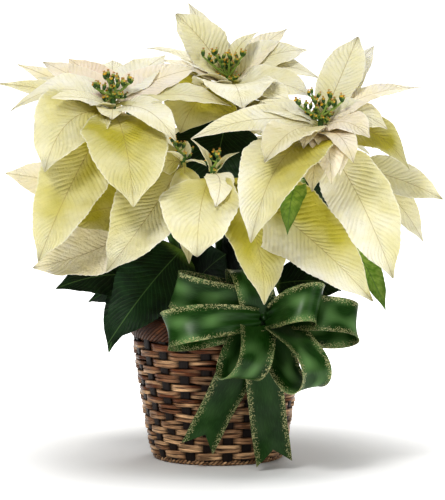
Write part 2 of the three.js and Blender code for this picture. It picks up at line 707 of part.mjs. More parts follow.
function loopSolid({ to, behind, open, wide }) {
  const knot = vector(KNOT).add(new THREE.Vector3(0, behind, 0));
  const reach = vector(to).sub(knot);
  const along = reach.clone().normalize();
  const across = vector(wide);
  const depth = across.clone().cross(along);
  across.divideScalar(depth.length());
  depth.normalize();
  const at = (share) => {
    const angle = 2 * Math.PI * share;
    const out = 0.5 - 0.5 * Math.cos(angle);
    const part = (open / 2) * Math.sin(angle) * Math.sin(angle / 2) * 1.3; // 1.3 makes its greatest open / 2
    return knot.clone().addScaledVector(reach, out).addScaledVector(depth, part);
  };
  const stations = [];
  for (let i = 0; i < RIBBON.loopStations; i += 1) {
    const share = THREE.MathUtils.lerp(RIBBON.ends, 1 - RIBBON.ends, i / (RIBBON.loopStations - 1));
    const tangent = at(share + 0.01).sub(at(share - 0.01)).normalize();
    const gathered = RIBBON.pinch + (1 - RIBBON.pinch) * Math.min(1, Math.sin(Math.PI * share) * 1.5);
    stations.push({
      middle: at(share),
      across,
      out: tangent.clone().cross(across).normalize(),
      half: (RIBBON.width / 2) * gathered,
    });
  }
  return ribbonSolid(stations, 2);
}

function tailSolid({ points, across, notch }) {
  const start = vector(KNOT).add(new THREE.Vector3(0, RIBBON.knot * 0.6, 0));
  const curve = new THREE.CatmullRomCurve3([start, ...points.map(vector)]);
  const end = vector(across).normalize();
  const level = new THREE.Vector3(1, 0, 0);
  const stations = [];
  for (let i = 0; i < RIBBON.tailStations; i += 1) {
    const share = i / (RIBBON.tailStations - 1);
    const tangent = curve.getTangentAt(share);
    const side = level.clone().lerp(end, share);
    side.addScaledVector(tangent, -side.dot(tangent)).normalize();
    const gathered = RIBBON.pinch + (1 - RIBBON.pinch) * Math.min(1, share * 3);
    stations.push({
      middle: curve.getPointAt(share),
      across: side,
      out: tangent.clone().cross(side).normalize(),
      half: (RIBBON.width / 2) * gathered,
      cut: i === RIBBON.tailStations - 1 ? tangent.clone().multiplyScalar(notch) : null,
    });
  }
  return ribbonSolid(stations, 3);
}

function bowSolid() {
  const knot = new THREE.SphereGeometry(RIBBON.knot, 7, 5);
  knot.scale(1, 1.15, 1);
  knot.translate(...KNOT);
  return wasm.Manifold.union([solid(knot), ...LOOPS.map(loopSolid), ...TAILS.map(tailSolid)]);
}

function pickSolid() {
  return solid(taperedTube(PICK_ROUTE.map(vector), PICK.radius, PICK.radius, PICK.sides, PICK.stepsEach));
}

// ---- The parts -----------------------------------------------------------------------------------------

const parts = new THREE.Group();

const FINISHES = {
  bract: { color: "#ece6b4", roughness: 0.55, metalness: 0 },
  leaf: { color: "#1e3d20", roughness: 0.4, metalness: 0 },
  cyathia: { color: "#5d7a24", roughness: 0.5, metalness: 0 },
  reed: { color: "#8a5f3c", roughness: 0.6, metalness: 0 },
  border: { color: "#5a3826", roughness: 0.6, metalness: 0 },
  plastic: { color: "#2b2a28", roughness: 0.6, metalness: 0 },
  soil: { color: "#33261b", roughness: 1, metalness: 0 },
  satin: { color: "#1f5a2b", roughness: 0.35, metalness: 0 },
  wire: { color: "#3c4a36", roughness: 0.5, metalness: 0.6 },
};

function addPart(name, shape, finish) {
  const { vertProperties, triVerts } = shape.getMesh();
  const geometry = new THREE.BufferGeometry();
  geometry.setAttribute("position", new THREE.BufferAttribute(vertProperties, 3));
  geometry.setIndex([...triVerts]);
  const mesh = new THREE.Mesh(geometry, new THREE.MeshStandardMaterial(FINISHES[finish]));
  mesh.name = name;
  parts.add(mesh);
}

addPart("basket_base", basketBase(), "border");
addPart("basket_wall", basketWall(), "reed");
addPart("basket_rim", basketRim(), "border");
addPart("liner_pot", linerPot(), "plastic");
addPart("soil", soilBody(), "soil");
for (const [name, stem] of Object.entries(STEMS)) {
  addPart(`stem_${name}`, stemSolid(stem), "leaf");
}
for (const [name, bloom] of Object.entries(BLOOMS)) {
  addPart(`bracts_${name}`, bloomSolid(bloom), "bract");
  addPart(`cyathia_${name}`, cyathiaSolid(bloom, FORKS[name]), "cyathia");
}
addPart("bow", bowSolid(), "satin");
addPart("bow_pick", pickSolid(), "wire");

export default parts;
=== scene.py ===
# %% [markdown]
# # A cream poinsettia in a woven basket
# A poinsettia is a shrub whose "flowers" are coloured leaves, called bracts, round small green cups, called
# cyathia. This one stands in a grower's pot inside a reed basket, with a satin bow pushed into its soil on a
# wire. The solids of the model are already packed, and this script gives each of them its finished surface.

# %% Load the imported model
import math

import bpy
import numpy as np
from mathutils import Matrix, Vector


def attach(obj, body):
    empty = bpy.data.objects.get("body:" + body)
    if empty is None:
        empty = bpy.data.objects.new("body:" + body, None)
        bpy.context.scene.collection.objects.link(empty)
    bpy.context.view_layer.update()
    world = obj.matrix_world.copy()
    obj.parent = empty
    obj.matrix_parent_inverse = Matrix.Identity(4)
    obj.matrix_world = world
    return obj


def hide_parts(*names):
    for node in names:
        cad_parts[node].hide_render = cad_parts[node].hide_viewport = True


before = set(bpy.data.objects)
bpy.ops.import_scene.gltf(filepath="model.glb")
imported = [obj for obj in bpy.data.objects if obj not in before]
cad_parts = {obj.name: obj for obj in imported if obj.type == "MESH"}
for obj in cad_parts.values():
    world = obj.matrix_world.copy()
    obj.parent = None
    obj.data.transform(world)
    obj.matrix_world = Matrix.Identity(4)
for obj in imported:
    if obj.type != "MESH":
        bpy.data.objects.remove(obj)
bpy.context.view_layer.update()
MM = 0.001
print("packed solids:", len(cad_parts))

# %% [markdown]
# ## Small helpers
# A few helpers serve every step. One turns the hex colour that a painter would pick on a screen into the
# linear light that a renderer adds up. Two add a node to a tree, with its settings and links in one line, so
# that a pattern reads as its own steps. The others start a finish, lay its colours over each other, and make
# an object from points that stand in rings.


# %% Helpers for finishes
def linear(hex_colour):
    """The linear colour of an sRGB hex value."""
    shares = [int(hex_colour[i : i + 2], 16) / 255 for i in (1, 3, 5)]
    light = [v / 12.92 if v <= 0.04045 else ((v + 0.055) / 1.055) ** 2.4 for v in shares]
    return (*light, 1.0)


FAMILIES = {
    "ShaderNodeTree": ("ShaderNode",),
    "GeometryNodeTree": ("GeometryNode", "FunctionNode", "ShaderNode", "Node"),
}


def connect(tree, value, socket):
    """Gives a socket a plain value, a hex colour, another socket, or the first output of a node."""
    if isinstance(value, str) and value.startswith("#"):
        value = linear(value)
    if isinstance(value, bpy.types.Node):
        value = next(s for s in value.outputs if s.enabled)
    if isinstance(value, bpy.types.NodeSocket):
        tree.links.new(value, socket)
    else:
        socket.default_value = value


def add(tree, kind, inputs=(), **settings):
    """Adds a node with its settings. Its inputs come in order, or by name in a dictionary."""
    family = next(f for f in FAMILIES[tree.bl_idname] if hasattr(bpy.types, f + kind))
    made = tree.nodes.new(family + kind)
    for name, value in settings.items():
        setattr(made, name, value)
    enabled = [s for s in made.inputs if s.enabled]
    for key, value in inputs.items() if isinstance(inputs, dict) else enumerate(inputs):
        socket = enabled[key] if isinstance(key, int) else next(s for s in enabled if s.name == key)
        connect(tree, value, socket)
    return made


def finish_of(name, **settings):
    """A new material with its Principled shader. The settings are values for that shader's own sockets."""
    made = bpy.data.materials.new(name)
    made.use_nodes = True
    shader = made.node_tree.nodes["Principled BSDF"]
    for key, value in settings.items():
        shader.inputs[key.replace("_", " ")].default_value = value
    return made, made.node_tree, shader


def paint(tree, shader, body, *coats):
    """Lays coats over a body colour, each by its share at every point, and hands the result to the shader."""
    for share, colour in coats:
        body = add(tree, "Mix", (share, body, colour), data_type="RGBA")
    connect(tree, body, shader.inputs["Base Color"])


# %% Helpers for shapes
def object_from(name, points, faces, materials):
    """A mesh object from points in millimetres."""
    mesh = bpy.data.meshes.new(name)
    mesh.from_pydata([tuple(p) for p in np.asarray(points, float) * MM], [], faces)
    mesh.validate()
    for material in materials:
        mesh.materials.append(material)
    mesh.shade_smooth()
    made = bpy.data.objects.new(name, mesh)
    bpy.context.scene.collection.objects.link(made)
    return made


def ring(radius, height, sides):
    """Points at even steps round the upright axis."""
    angles = [2 * math.pi * j / sides for j in range(sides)]
    return [(radius * math.cos(angle), radius * math.sin(angle), height) for angle in angles]


def between_rings(rings, around, first=0, mirrored=False):
    """The faces between rings of points that follow one another. Mirrored faces point the other way."""
    faces = []
    for i in range(rings - 1):
        a = first + i * around
        for j in range(around):
            k = (j + 1) % around
            face = (a + j, a + k, a + around + k, a + around + j)
            faces.append((face[0], face[3], face[2], face[1]) if mirrored else face)
    return faces


def skin(rings, around):
    """The faces of a closed shape: a first point, rings of points, and a last point."""
    faces = [(0, 1 + (j + 1) % around, 1 + j) for j in range(around)]
    faces += between_rings(rings, around, first=1)
    last = 1 + (rings - 1) * around
    faces += [(last + j, last + (j + 1) % around, last + around) for j in range(around)]
    return faces


# %% [markdown]
# ## Camera
# A product picture is taken from far away with a long lens, so that the front and the back of the basket keep
# nearly the same size. The lens follows from the distance and from how much height the picture has to hold.

# %% Camera
CAMERA_DISTANCE = 2.5  # in metres, as every size of the studio is
CAMERA_HEIGHT = 0.396
CAMERA_SIDE = 0.0047
AIM_HEIGHT = 0.218
PICTURE_HEIGHT = 0.525  # what the picture takes in at the basket's middle
SENSOR = 36.0

camera_data = bpy.data.cameras.new("camera")
camera = bpy.data.objects.new("camera", camera_data)
bpy.context.scene.collection.objects.link(camera)
camera.location = (CAMERA_SIDE, -CAMERA_DISTANCE, CAMERA_HEIGHT)
aim = Vector((CAMERA_SIDE, 0, AIM_HEIGHT)) - camera.location
camera.rotation_euler = aim.to_track_quat("-Z", "Y").to_euler()
camera_data.sensor_width = SENSOR
camera_data.lens = SENSOR * aim.length / PICTURE_HEIGHT
bpy.context.scene.camera = camera
print("lens:", round(camera_data.lens, 1), "mm")

# %% [markdown]
# ## Studio
# The pot stands on a pale floor that gives off a painted glow of its own, none near the pot and more further
# away, so its edge melts into a white sweep that curves up far away on all sides, and no horizon shows. The
# sweep is only a backdrop: it is seen, but it sends no light onto the plant, which would wash out the dark
# leaves. A small lamp in front, high on the left, is the key, and it draws the folds. A wide one above and a
# wider one on the right soften its shadows, and one behind lights through the bracts. A view with more
# contrast than usual keeps the dark leaves dark.

# %% Paper floor and sweep
FLOOR_RADIUS = 1.4
FLOOR_RINGS_AT = (0.3, 0.6, 1.0, FLOOR_RADIUS)
GLOW_FROM = 0.09  # the floor brightens from here
GLOW_TO = 0.46  # and is white from here on
SWEEP_PROFILE = [(FLOOR_RADIUS - 0.01, -0.004), (4.0, -0.004), (4.5, 0.12)]
SWEEP_PROFILE += [(4.9, 0.5), (5.1, 1.2), (5.2, 3.4)]


def round_sheet(name, profile, sides=96):
    """A round sheet from pairs of radius and height, in metres. It starts with a disc."""
    points = [(0, 0, profile[0][1] / MM)]
    for radius, height in profile:
        points += ring(radius / MM, height / MM, sides)
    faces = [(0, 1 + i, 1 + (i + 1) % sides) for i in range(sides)]
    faces += between_rings(len(profile), sides, first=1, mirrored=True)
    return object_from(name, points, faces, [])


# Uncoated paper is matt, so it takes a soft shadow and mirrors nothing.
floor_paper, tree, shader = finish_of("floor_paper", Roughness=0.9)
shader.inputs["Specular IOR Level"].default_value = 0.1
shader.inputs["Base Color"].default_value = linear("#f4f4f4")
# Painted glow: the floor gives off light of its own, none near the pot and full white further out.
place = add(tree, "TexCoord").outputs["Object"]
from_middle = add(tree, "VectorMath", (place,), operation="LENGTH").outputs["Value"]
glow = add(tree, "MapRange", (from_middle, GLOW_FROM, GLOW_TO), interpolation_type="SMOOTHSTEP")
shader.inputs["Emission Color"].default_value = (1, 1, 1, 1)
connect(tree, glow, shader.inputs["Emission Strength"])
floor = round_sheet("floor", [(radius, 0.0) for radius in FLOOR_RINGS_AT])
floor.data.materials.append(floor_paper)

# The sweep's paper gives off an even white of its own, so no bend in it shows.
sweep_paper, tree, shader = finish_of("sweep_paper", Roughness=0.9)
shader.inputs["Emission Color"].default_value = (1, 1, 1, 1)
shader.inputs["Emission Strength"].default_value = 1.0
sweep = round_sheet("sweep", SWEEP_PROFILE)
sweep.data.materials.append(sweep_paper)
sweep.visible_diffuse = False
sweep.visible_glossy = False
print("floor across:", 2 * FLOOR_RADIUS, "m")

# %% Lamps
AIM_OF_LAMPS = (0, 0, 0.28)  # the middle of the plant
AIR_LIGHT = 0.22


def lamp(name, place, size, watts, colour="#ffffff"):
    """A square softbox that points at the plant's middle."""
    data = bpy.data.lights.new(name, "AREA")
    data.shape = "SQUARE"
    data.size = size
    data.energy = watts
    data.color = linear(colour)[:3]
    made = bpy.data.objects.new(name, data)
    bpy.context.scene.collection.objects.link(made)
    made.location = place
    made.rotation_euler = (Vector(AIM_OF_LAMPS) - Vector(place)).to_track_quat("-Z", "Y").to_euler()
    made.visible_camera = False
    print(name, watts, "W")


lamp("key_softbox", (-0.75, -1.5, 1.8), size=0.5, watts=18.5, colour="#fffefc")
lamp("top_softbox", (0.0, -0.35, 2.3), size=0.9, watts=7)
lamp("fill_softbox", (1.2, -1.9, 0.9), size=1.4, watts=8.5)
lamp("back_softbox", (0.5, 1.6, 1.7), size=1.0, watts=15)

world = bpy.data.worlds.new("studio_air")
bpy.context.scene.world = world
world.use_nodes = True
air = world.node_tree.nodes["Background"].inputs
air["Color"].default_value = (1, 1, 1, 1)
air["Strength"].default_value = AIR_LIGHT
bpy.context.scene.view_settings.view_transform = "Standard"
bpy.context.scene.view_settings.look = "Medium High Contrast"

# %% [markdown]
# ## The shape of a blade
# A bract and a green leaf are the same organ: a short stalk, a midrib, and a thin blade that is widest below
# its middle and ends in a point. Each one here is a grid of points along a curved midrib. The tissue puffs up
# between the side veins, the margins lift and ripple, and a ridge runs under the midrib. Written as a rule,
# every blade can have its own size and direction, and still share the same veins.

# %% Sizes of a blade
ROW_GAP = 1.9  # mm from one row of points to the next, along the blade
FEWEST_ROWS = 16
COLUMNS = 17  # across it, an odd number, so that one column is the midrib
STALK_ROWS = 3
STALK_HALF = 1.6  # mm
MARGIN_THICK = 0.42  # mm
RIB_THICK = 0.9
RIDGE = 1.0  # how far the midrib stands out under the blade
VEIN_GAP = 5.6  # mm from one side vein to the next
VEIN_SLANT = 0.42  # how far a side vein runs on towards the tip, as a share of the blade's width
SHOULDER_REACH = 0.16  # how far from its widest place a blade's shoulder swells, as a share of its length
FULLNESS = 0.96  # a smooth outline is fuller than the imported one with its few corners
POINTED = 0.36  # how much narrower the last fifth of a blade is drawn, into its point
LEAST_HALF = 0.12  # mm, half the width at the very point
PUFF = 0.5  # mm that the tissue puffs up on a blade as wide as this:
PUFF_WIDE = 60
RIDGE_HALF = 1.5  # mm
ROLL = 0.024  # the height of the long rolls, as a share of the width
CREASE = 0.034  # and of the short creases
RIGHT_LAG = 0.37  # of a wave, by which the right margin's ripple trails the left one's

# Waves over a blade: how fast along it, how fast across it, and how high. Each takes a random turn of its
# own, so that no two blades are alike. Of the nine turns that a blade draws, the last is spare.
ROLLS = ((7, 2.2, 1.0), (13, -3.5, 0.7))
CREASES = ((31, 9, 1.0), (17, -14, 1.0))
VEIN_WAVES = ((17, 2, 0.16), (29, -3, 0.1))
MARGIN_WAVES = ((8, 2, 0.03), (27, -1, 0.018))
TURNS = 9
WHOLE_TURN = 6.28

# What a bract is like where its own row says nothing, and how a green leaf differs from that.
BRACT = dict(arch=0.12, bend=0, crest=0.42, face=0, fold=0.15, wave=0.04, waves=1.8)
BRACT |= dict(widest=0.38, taper=0.84, shoulder=0.06, stalk=0.05, quilt=0.75, crinkle=0.4)
# olive is partly a bract's own yellow-green and partly painted shade, and side moves it onto one half as
# painted shade.
BRACT |= dict(olive=0.3, side=0.0, pink=0.0)
LEAF = BRACT | dict(arch=0.16, fold=0.17, wave=0.035, waves=1.7, widest=0.4, taper=0.95)
LEAF |= dict(shoulder=0.12, stalk=0.3, olive=0.0)
print("a blade is", COLUMNS, "points wide")


# %% Outline and midrib
def unit(v):
    """The same direction with a length of 1."""
    return v / np.linalg.norm(v, axis=-1, keepdims=True)


def smooth_step(low, high, x):
    """0 up to the low value, 1 from the high one, and a soft rise between."""
    t = np.clip((x - low) / (high - low), 0, 1)
    return t * t * (3 - 2 * t)


def outline(share, widest, taper, shoulder):
    """Half the width at a share of the length, as a share of the widest."""
    swell = taper * widest / (1 - widest)
    smooth = (share / widest) ** swell * ((1 - share) / (1 - widest)) ** taper
    return smooth * (1 + shoulder * np.maximum(0, 1 - np.abs(share - widest) / SHOULDER_REACH))


def midrib(base, tip, leaf):
    """The control points of the midrib, and the direction across the blade."""
    chord = tip - base
    length = np.linalg.norm(chord)
    along = chord / length
    over = unit(np.array([0, 0, 1.0]) - along * along[2])
    aside = np.cross(along, over)
    up = over * (1 - leaf["face"]) + np.array([0, -1.0, 0]) * leaf["face"]
    lifted = over * 2 * leaf["arch"] * length + aside * 2 * leaf["bend"] * length
    return base + chord * leaf["crest"] + lifted, unit(np.cross(along, up)), length


def rows_along(length, stalk):
    """Where the rows of points lie, as shares of the blade's length. They are closer at its ends."""
    even = np.linspace(0, 1, max(FEWEST_ROWS, round(length * (1 - stalk) / ROW_GAP)))
    share = (0.5 * even + 0.25 - 0.25 * np.cos(np.pi * even))[:-1]
    on_stalk = np.linspace(0, stalk, STALK_ROWS, endpoint=False)
    return np.concatenate([on_stalk, stalk + (1 - stalk) * share])[:, None]


# %% Veins, puffs and ripples
def wave_over(s, v, wave, turn):
    """A wave's height, from the share of the length and the share of the half width."""
    along, across, height = wave
    return height * np.sin(along * s + across * v + turn)


def side_veins(s, v, wide, blade_length, turns):
    """The number of the nearest side vein, counted from the stalk. It is a whole number on a vein."""
    slant = VEIN_SLANT * wide / blade_length
    vein = blade_length / VEIN_GAP * (s - slant * np.abs(v) ** 0.85) + 0.2 * np.clip(v * 8, -1, 1)
    for wave, turn in zip(VEIN_WAVES, turns[4:6]):
        vein = vein + wave_over(s, v, wave, turn)
    return vein


def margin_of(s, v, vein, turns):
    """How far the margin stands out or in, as a share of the half width."""
    margin = 0.014 * np.cos(2 * np.pi * vein)
    for wave, turn in zip(MARGIN_WAVES, turns[6:8]):
        margin = margin + wave_over(s, np.sign(v), wave, turn)
    return margin


def lift_of(leaf, s, v, wide, width, half, vein, turns):
    """How high the tissue lies over the flat blade: puffed, folded, rippled, rolled and creased."""
    out = np.abs(v)
    puff = PUFF * leaf["quilt"] * (wide / PUFF_WIDE) * np.minimum(1, width * 1.3)
    puff = puff * np.minimum(1, out / 0.12) * (1 - 0.6 * out**4)
    lift = -puff * np.exp(-(((vein + 0.5) % 1 - 0.5) ** 2) / 0.03)
    along = leaf["waves"] * s
    ripple = np.where(v < 0, np.sin(2 * np.pi * along), np.sin(2 * np.pi * (along + RIGHT_LAG)))
    ripple = leaf["wave"] * wide * width * ripple
    rolls = wave_over(s, v, ROLLS[0], turns[0]) + wave_over(s, v, ROLLS[1], turns[1])
    rolls = rolls * ROLL * wide * width
    creases = wave_over(s, v, CREASES[0], turns[2]) * wave_over(s, v, CREASES[1], turns[3])
    creases = leaf["crinkle"] * creases * CREASE * wide * width
    lift = lift + leaf["fold"] * half * out**1.35
    return lift + (ripple + rolls * 0.6) * out**2 + (rolls * 0.4 + creases) * out


# %% One blade
def blade_values(leaf, u, s, v, half, vein, stalky):
    """The values that the finish reads at every point of the upper and the lower face."""

    def spread(values, at_base, at_tip):
        both = np.concatenate([values, values[:, ::-1]], axis=1)
        return np.concatenate([[at_base], both.ravel(), [at_tip]])

    out = np.abs(v)
    whole = np.ones_like(vein)
    # A bract is greenest at its stalk and along its midrib, and blushes most there. The side value greens one
    # half more than the other, and that share is painted shade where other bracts shade that half.
    green = leaf["olive"] * (1 + leaf["side"] * v) * (1.3 - 0.85 * s) * (1 - 0.3 * out**2)
    return {
        "vein": spread(vein, 0.5, 0.5),
        "rib": spread(half * out, 0, 0),
        "across": spread(v * whole, 0, 0),
        "along": spread(s * whole, 0, 1),
        "olive": spread(np.clip(green + 0.5 * stalky, 0, 1), 1, 0),
        "pink": spread(leaf["pink"] * (1 - 0.6 * s) * whole, 0, 0),
        "stalk": spread(np.where(u < leaf["stalk"], 1.0, 0.0) * whole, 1, 0),
    }


def blade(base, tip, leaf, rng):
    """Points, faces and the values that the finish reads, for one blade."""
    middle, across, length = midrib(base, tip, leaf)
    stalk = leaf["stalk"]
    u = rows_along(length, stalk)
    rib = (1 - u) ** 2 * base + 2 * u * (1 - u) * middle + u**2 * tip
    tangent = unit((1 - u) * (middle - base) + u * (tip - middle))
    side = unit(across - (tangent @ across)[:, None] * tangent)
    top = np.cross(side, tangent)

    s = np.clip((u - stalk) / (1 - stalk), 0, 1)
    v = np.linspace(-1, 1, COLUMNS)[None, :]
    wide = leaf["wide"] * FULLNESS
    width = outline(s, leaf["widest"], leaf["taper"], leaf["shoulder"])
    width = width * (1 - POINTED * smooth_step(0.82, 0.97, s))
    turns = rng.uniform(0, WHOLE_TURN, TURNS)
    vein = side_veins(s, v, wide, length * (1 - stalk), turns)
    half = np.maximum(wide / 2 * width, STALK_HALF * (1 - s)) + LEAST_HALF
    reach = half * v * (1 + margin_of(s, v, vein, turns) * v**4)
    stalky = 1 - smooth_step(0.0, 0.1, s)
    lift = lift_of(leaf, s, v, wide, width, half, vein, turns) * (1 - stalky)

    thick = RIB_THICK + (MARGIN_THICK - RIB_THICK) * np.abs(v) ** 0.6
    thick = thick * (1 - stalky) + stalky * (2 * STALK_HALF * np.sqrt(1 - 0.97 * v**2))
    thick = np.minimum(thick, 0.3 + half * 1.4)
    ridge = RIDGE * np.exp(-((half * v / RIDGE_HALF) ** 2)) * (1 - s) * (1 - stalky)
    ridge = ridge * np.minimum(1, wide / 40)
    middle_line = rib[:, None, :] + side[:, None, :] * reach[..., None]
    upper = middle_line + top[:, None, :] * (lift + thick / 2)[..., None]
    lower = middle_line + top[:, None, :] * (lift - thick / 2 - ridge)[..., None]
    rings = np.concatenate([upper, lower[:, ::-1]], axis=1)
    points = np.concatenate([[base], rings.reshape(-1, 3), [tip]])
    return points, skin(len(u), 2 * COLUMNS), blade_values(leaf, u, s, v, half, vein, stalky)


# %% Many blades as one object
def as_one(name, shapes, material):
    """Many shapes as one object, with their values as attributes."""
    points, faces, values = [], [], {}
    count = 0
    for these, sides, theirs in shapes:
        points.append(these)
        faces += [tuple(i + count for i in face) for face in sides]
        count += len(these)
        for key, value in theirs.items():
            values.setdefault(key, []).append(value)
    made = object_from(name, np.concatenate(points), faces, [material])
    for key, parts in values.items():
        attribute = made.data.attributes.new(key, "FLOAT", "POINT")
        attribute.data.foreach_set("value", np.concatenate(parts).astype(np.float32))
    made.data.set_sharp_from_angle(angle=math.radians(70))
    return made


# %% [markdown]
# ## Bract tissue
# A cream bract is soft, matt and slightly translucent leaf tissue. It is nearly white where the light falls
# on it, yellow-green towards its stalk, and now and then flushed with pink. Part of that yellow-green is
# painted shade: more of it is laid on the half of a bract that others shade, and on bracts that lie in shade.
# A thin darker line marks the midrib, and the side veins hardly differ in colour: they show because the
# tissue puffs up between them. A pale rim along each margin is a painted highlight. All of it is painted from
# the values that each blade carries, so the colour turns and curves with the blade.


# %% Patterns on a blade
def patches(tree, size, detail=3.0, stretch=(1, 1, 1)):
    """Soft noise on the object's own coordinates, with patches of this size in millimetres."""
    place = add(tree, "TexCoord").outputs["Object"]
    mapped = add(tree, "Mapping", {"Vector": place, "Scale": stretch})
    return add(tree, "TexNoise", {"Vector": mapped, "Scale": 1000 / size, "Detail": detail})


def line_at(tree, distance, width):
    """1 on a line and 0 beside it, from a distance and the line's half width in the same unit."""
    return add(tree, "MapRange", (distance, width, width * 0.35, 0, 1), interpolation_type="SMOOTHSTEP")


def vein_distance(tree):
    """How far a point is from the nearest side vein, as a share of the gap between two."""
    place = add(tree, "Math", (add(tree, "Attribute", attribute_name="vein"),), operation="FRACT")
    return add(tree, "Math", (place, 0.5), operation="PINGPONG")


def blade_relief(tree, shader, quilt, crumple, grain):
    """Puffs between the veins, crumples and a fine grain, each by its height in millimetres."""
    puffed = add(tree, "MapRange", (vein_distance(tree), 0.0, 0.4), interpolation_type="SMOOTHSTEP")
    here = add(tree, "MapRange", (patches(tree, 28), 0.4, 0.62, 0.15 * quilt, quilt))
    puffed = add(tree, "Math", (puffed, here), operation="MULTIPLY")
    soft = add(tree, "Math", (patches(tree, 8), crumple, puffed), operation="MULTIPLY_ADD")
    fine = add(tree, "Math", (patches(tree, 1.8), grain, soft), operation="MULTIPLY_ADD")
    relief = add(tree, "Bump", {"Strength": 1.0, "Distance": 1 * MM, "Height": fine})
    connect(tree, relief, shader.inputs["Normal"])


# %% Bract material
cream_tissue, tree, shader = finish_of("cream_bract_tissue", Roughness=0.5)
# Light goes a few millimetres into the soft tissue, so the shade side of a bract never turns grey.
shader.inputs["Subsurface Weight"].default_value = 0.15
shader.inputs["Subsurface Radius"].default_value = (1.0, 0.9, 0.4)
shader.inputs["Subsurface Scale"].default_value = 3 * MM
shader.inputs["Specular IOR Level"].default_value = 0.35
BRACT_VALUES = ("olive", "pink", "rib", "across", "along", "stalk")
own = {key: add(tree, "Attribute", attribute_name=key) for key in BRACT_VALUES}
cloudy = add(tree, "MapRange", (patches(tree, 26), 0.35, 0.65))
mottle = add(tree, "MapRange", (patches(tree, 34, 1.0), 0.3, 0.7, 0.75, 1.2))
yellow_green = add(tree, "Mix", (patches(tree, 20), "#cbbf4b", "#a39d33"), data_type="RGBA")
how_green = add(tree, "Math", (own["olive"], mottle), operation="MULTIPLY", use_clamp=True)
veins = add(tree, "Math", (line_at(tree, vein_distance(tree), 0.11), 0.1), operation="MULTIPLY")
thin = add(tree, "MapRange", (own["along"], 0.0, 1.0, 0.75, 0.4))
midrib_line = add(tree, "Math", (line_at(tree, own["rib"], 0.62), thin), operation="MULTIPLY")
out = add(tree, "Math", (own["across"],), operation="ABSOLUTE")
# A paler rim along each margin is a painted highlight.
edge = add(tree, "MapRange", (out, 0.95, 0.99, 0, 0.4))
stalked = add(tree, "Math", (own["stalk"], 0.6), operation="MULTIPLY")
paint(
    tree,
    shader,
    "#fdf9e6",
    (cloudy, "#f7f0cc"),
    (how_green, yellow_green),
    (own["pink"], "#f7d6c2"),
    (veins, "#aea052"),
    (midrib_line, "#a08a45"),
    (edge, "#fffdf2"),
    (stalked, "#b3ae5c"),
)
blade_relief(tree, shader, quilt=0.65, crumple=1.8, grain=0.5)
print("bract tissue:", len(tree.nodes), "nodes")

# %% [markdown]
# ## The blooms in front
# Three large blooms and two small ones show from the front, with low bracts on the left and at the right
# edge. Each bract is given by the way it points, seen from above and in degrees, by how far and how high its
# tip lies from the bloom's centre, and by its width, in millimetres. The rest are the small things that make
# each one different: its arch, how much it faces forward, how green it has stayed and how far it is flushed.
# Part of that green is painted shade: bracts that lie in shade are given more of it, and the side value
# greens the half that other bracts shade.

# %% Helpers for the tables of bracts
# The hub is the end of the stem, where the bracts grow. Each bract starts a step below the last one.
HUB = dict(radius=4.2, inset=1.4, step=1.2, below=6, above=4)


def rows_of(keys, *rows):
    """Table rows as dictionaries: the first values by their keys, then a dictionary of extras."""
    return [dict(zip(keys, row)) | (row[len(keys)] if len(row) > len(keys) else {}) for row in rows]


TURN_FIRST = ("turn", "reach", "rise", "wide")
BLOOMS = {}


def bloom(name, centre, *bracts):
    """Keeps a bloom's centre and its bracts by its name."""
    BLOOMS[name] = (centre, rows_of(TURN_FIRST, *bracts))
    print("bloom", name, "has bracts:", len(bracts))


# %% Bloom A, large and on the left
bloom(
    "A",
    (-107, -60, 378),
    (55, 91, 44, 44, dict(arch=0.04, face=0.4, olive=0.1)),
    (122, 95, 40, 46, dict(arch=0.04, face=0.4, pink=0.85, olive=0.3)),
    (93, 95, 39, 40, dict(arch=0.05, face=0.2, olive=0.15)),
    (142, 97, 37, 42, dict(arch=0.03, face=0.4, pink=0.5, olive=0.15)),
    (30, 99, 30, 44, dict(arch=0.06, face=0.5, pink=0.4, olive=0.12)),
    (151, 92, 20, 34, dict(arch=0.08, face=0.3, olive=0.1)),
    (4, 122, -9, 52, dict(arch=0.1, face=0.3, olive=0.5, crinkle=0.8)),
    (212, 72, 0, 26, dict(arch=0.07, face=0.4, olive=0.2)),
    (175, 106, -14, 42, dict(arch=0.2, face=0.4, olive=0.12)),
    (232, 36, -8, 24, dict(arch=0.1, olive=0.4)),
    (318, 88, -43, 42, dict(arch=0.17, face=0.4, olive=0.18)),
    (271, 40, -22, 34, dict(arch=0.15, olive=0.35)),
    (218, 84, -74, 78, dict(arch=0.23, face=0.6, olive=0.75, quilt=2.4)),
    (285, 93, -107, 88, dict(arch=0.14, widest=0.44, olive=1.0)),
    (208, 84, -165, 72, dict(arch=0.03, face=0.75, stalk=0.15, olive=0.95, quilt=0.5)),
)

# %% Bloom B, large and at the top
bloom(
    "B",
    (11, 30, 397),
    (170, 57, 69, 48, dict(arch=0.06, face=0.7, olive=0.5, widest=0.5, taper=0.72)),
    (43, 44, 50, 24, dict(arch=0.2, face=0.2, olive=0.5)),
    (126, 74, 82, 34, dict(arch=0.05, face=0.4, olive=0.1)),
    (43, 87, 54, 36, dict(arch=0.06, face=0.4, olive=0.15, pink=0.2)),
    (161, 93, 33, 40, dict(arch=0.1, face=0.2, olive=0.05)),
    (25, 94, 31, 50, dict(arch=0.12, face=0.5, olive=0.3)),
    (196, 75, 20, 30, dict(arch=0.06, face=0.3, olive=0.15, pink=0.35)),
    (226, 49, 3, 22, dict(arch=0.14, olive=0.3)),
    (14, 103, -1, 46, dict(arch=0.2, face=0.4, olive=0.25)),
    (327, 102, -18, 52, dict(arch=0.12, face=0.45, olive=0.3)),
    (310, 98, -22, 50, dict(arch=0.07, face=0.3, olive=0.3)),
    (242, 62, -14, 26, dict(arch=0.19, olive=0.05)),
    (277, 114, -30, 88, dict(arch=0.14, olive=0.25)),
    (225, 71, -56, 90, dict(arch=0.2, face=0.66, olive=1.3)),
)

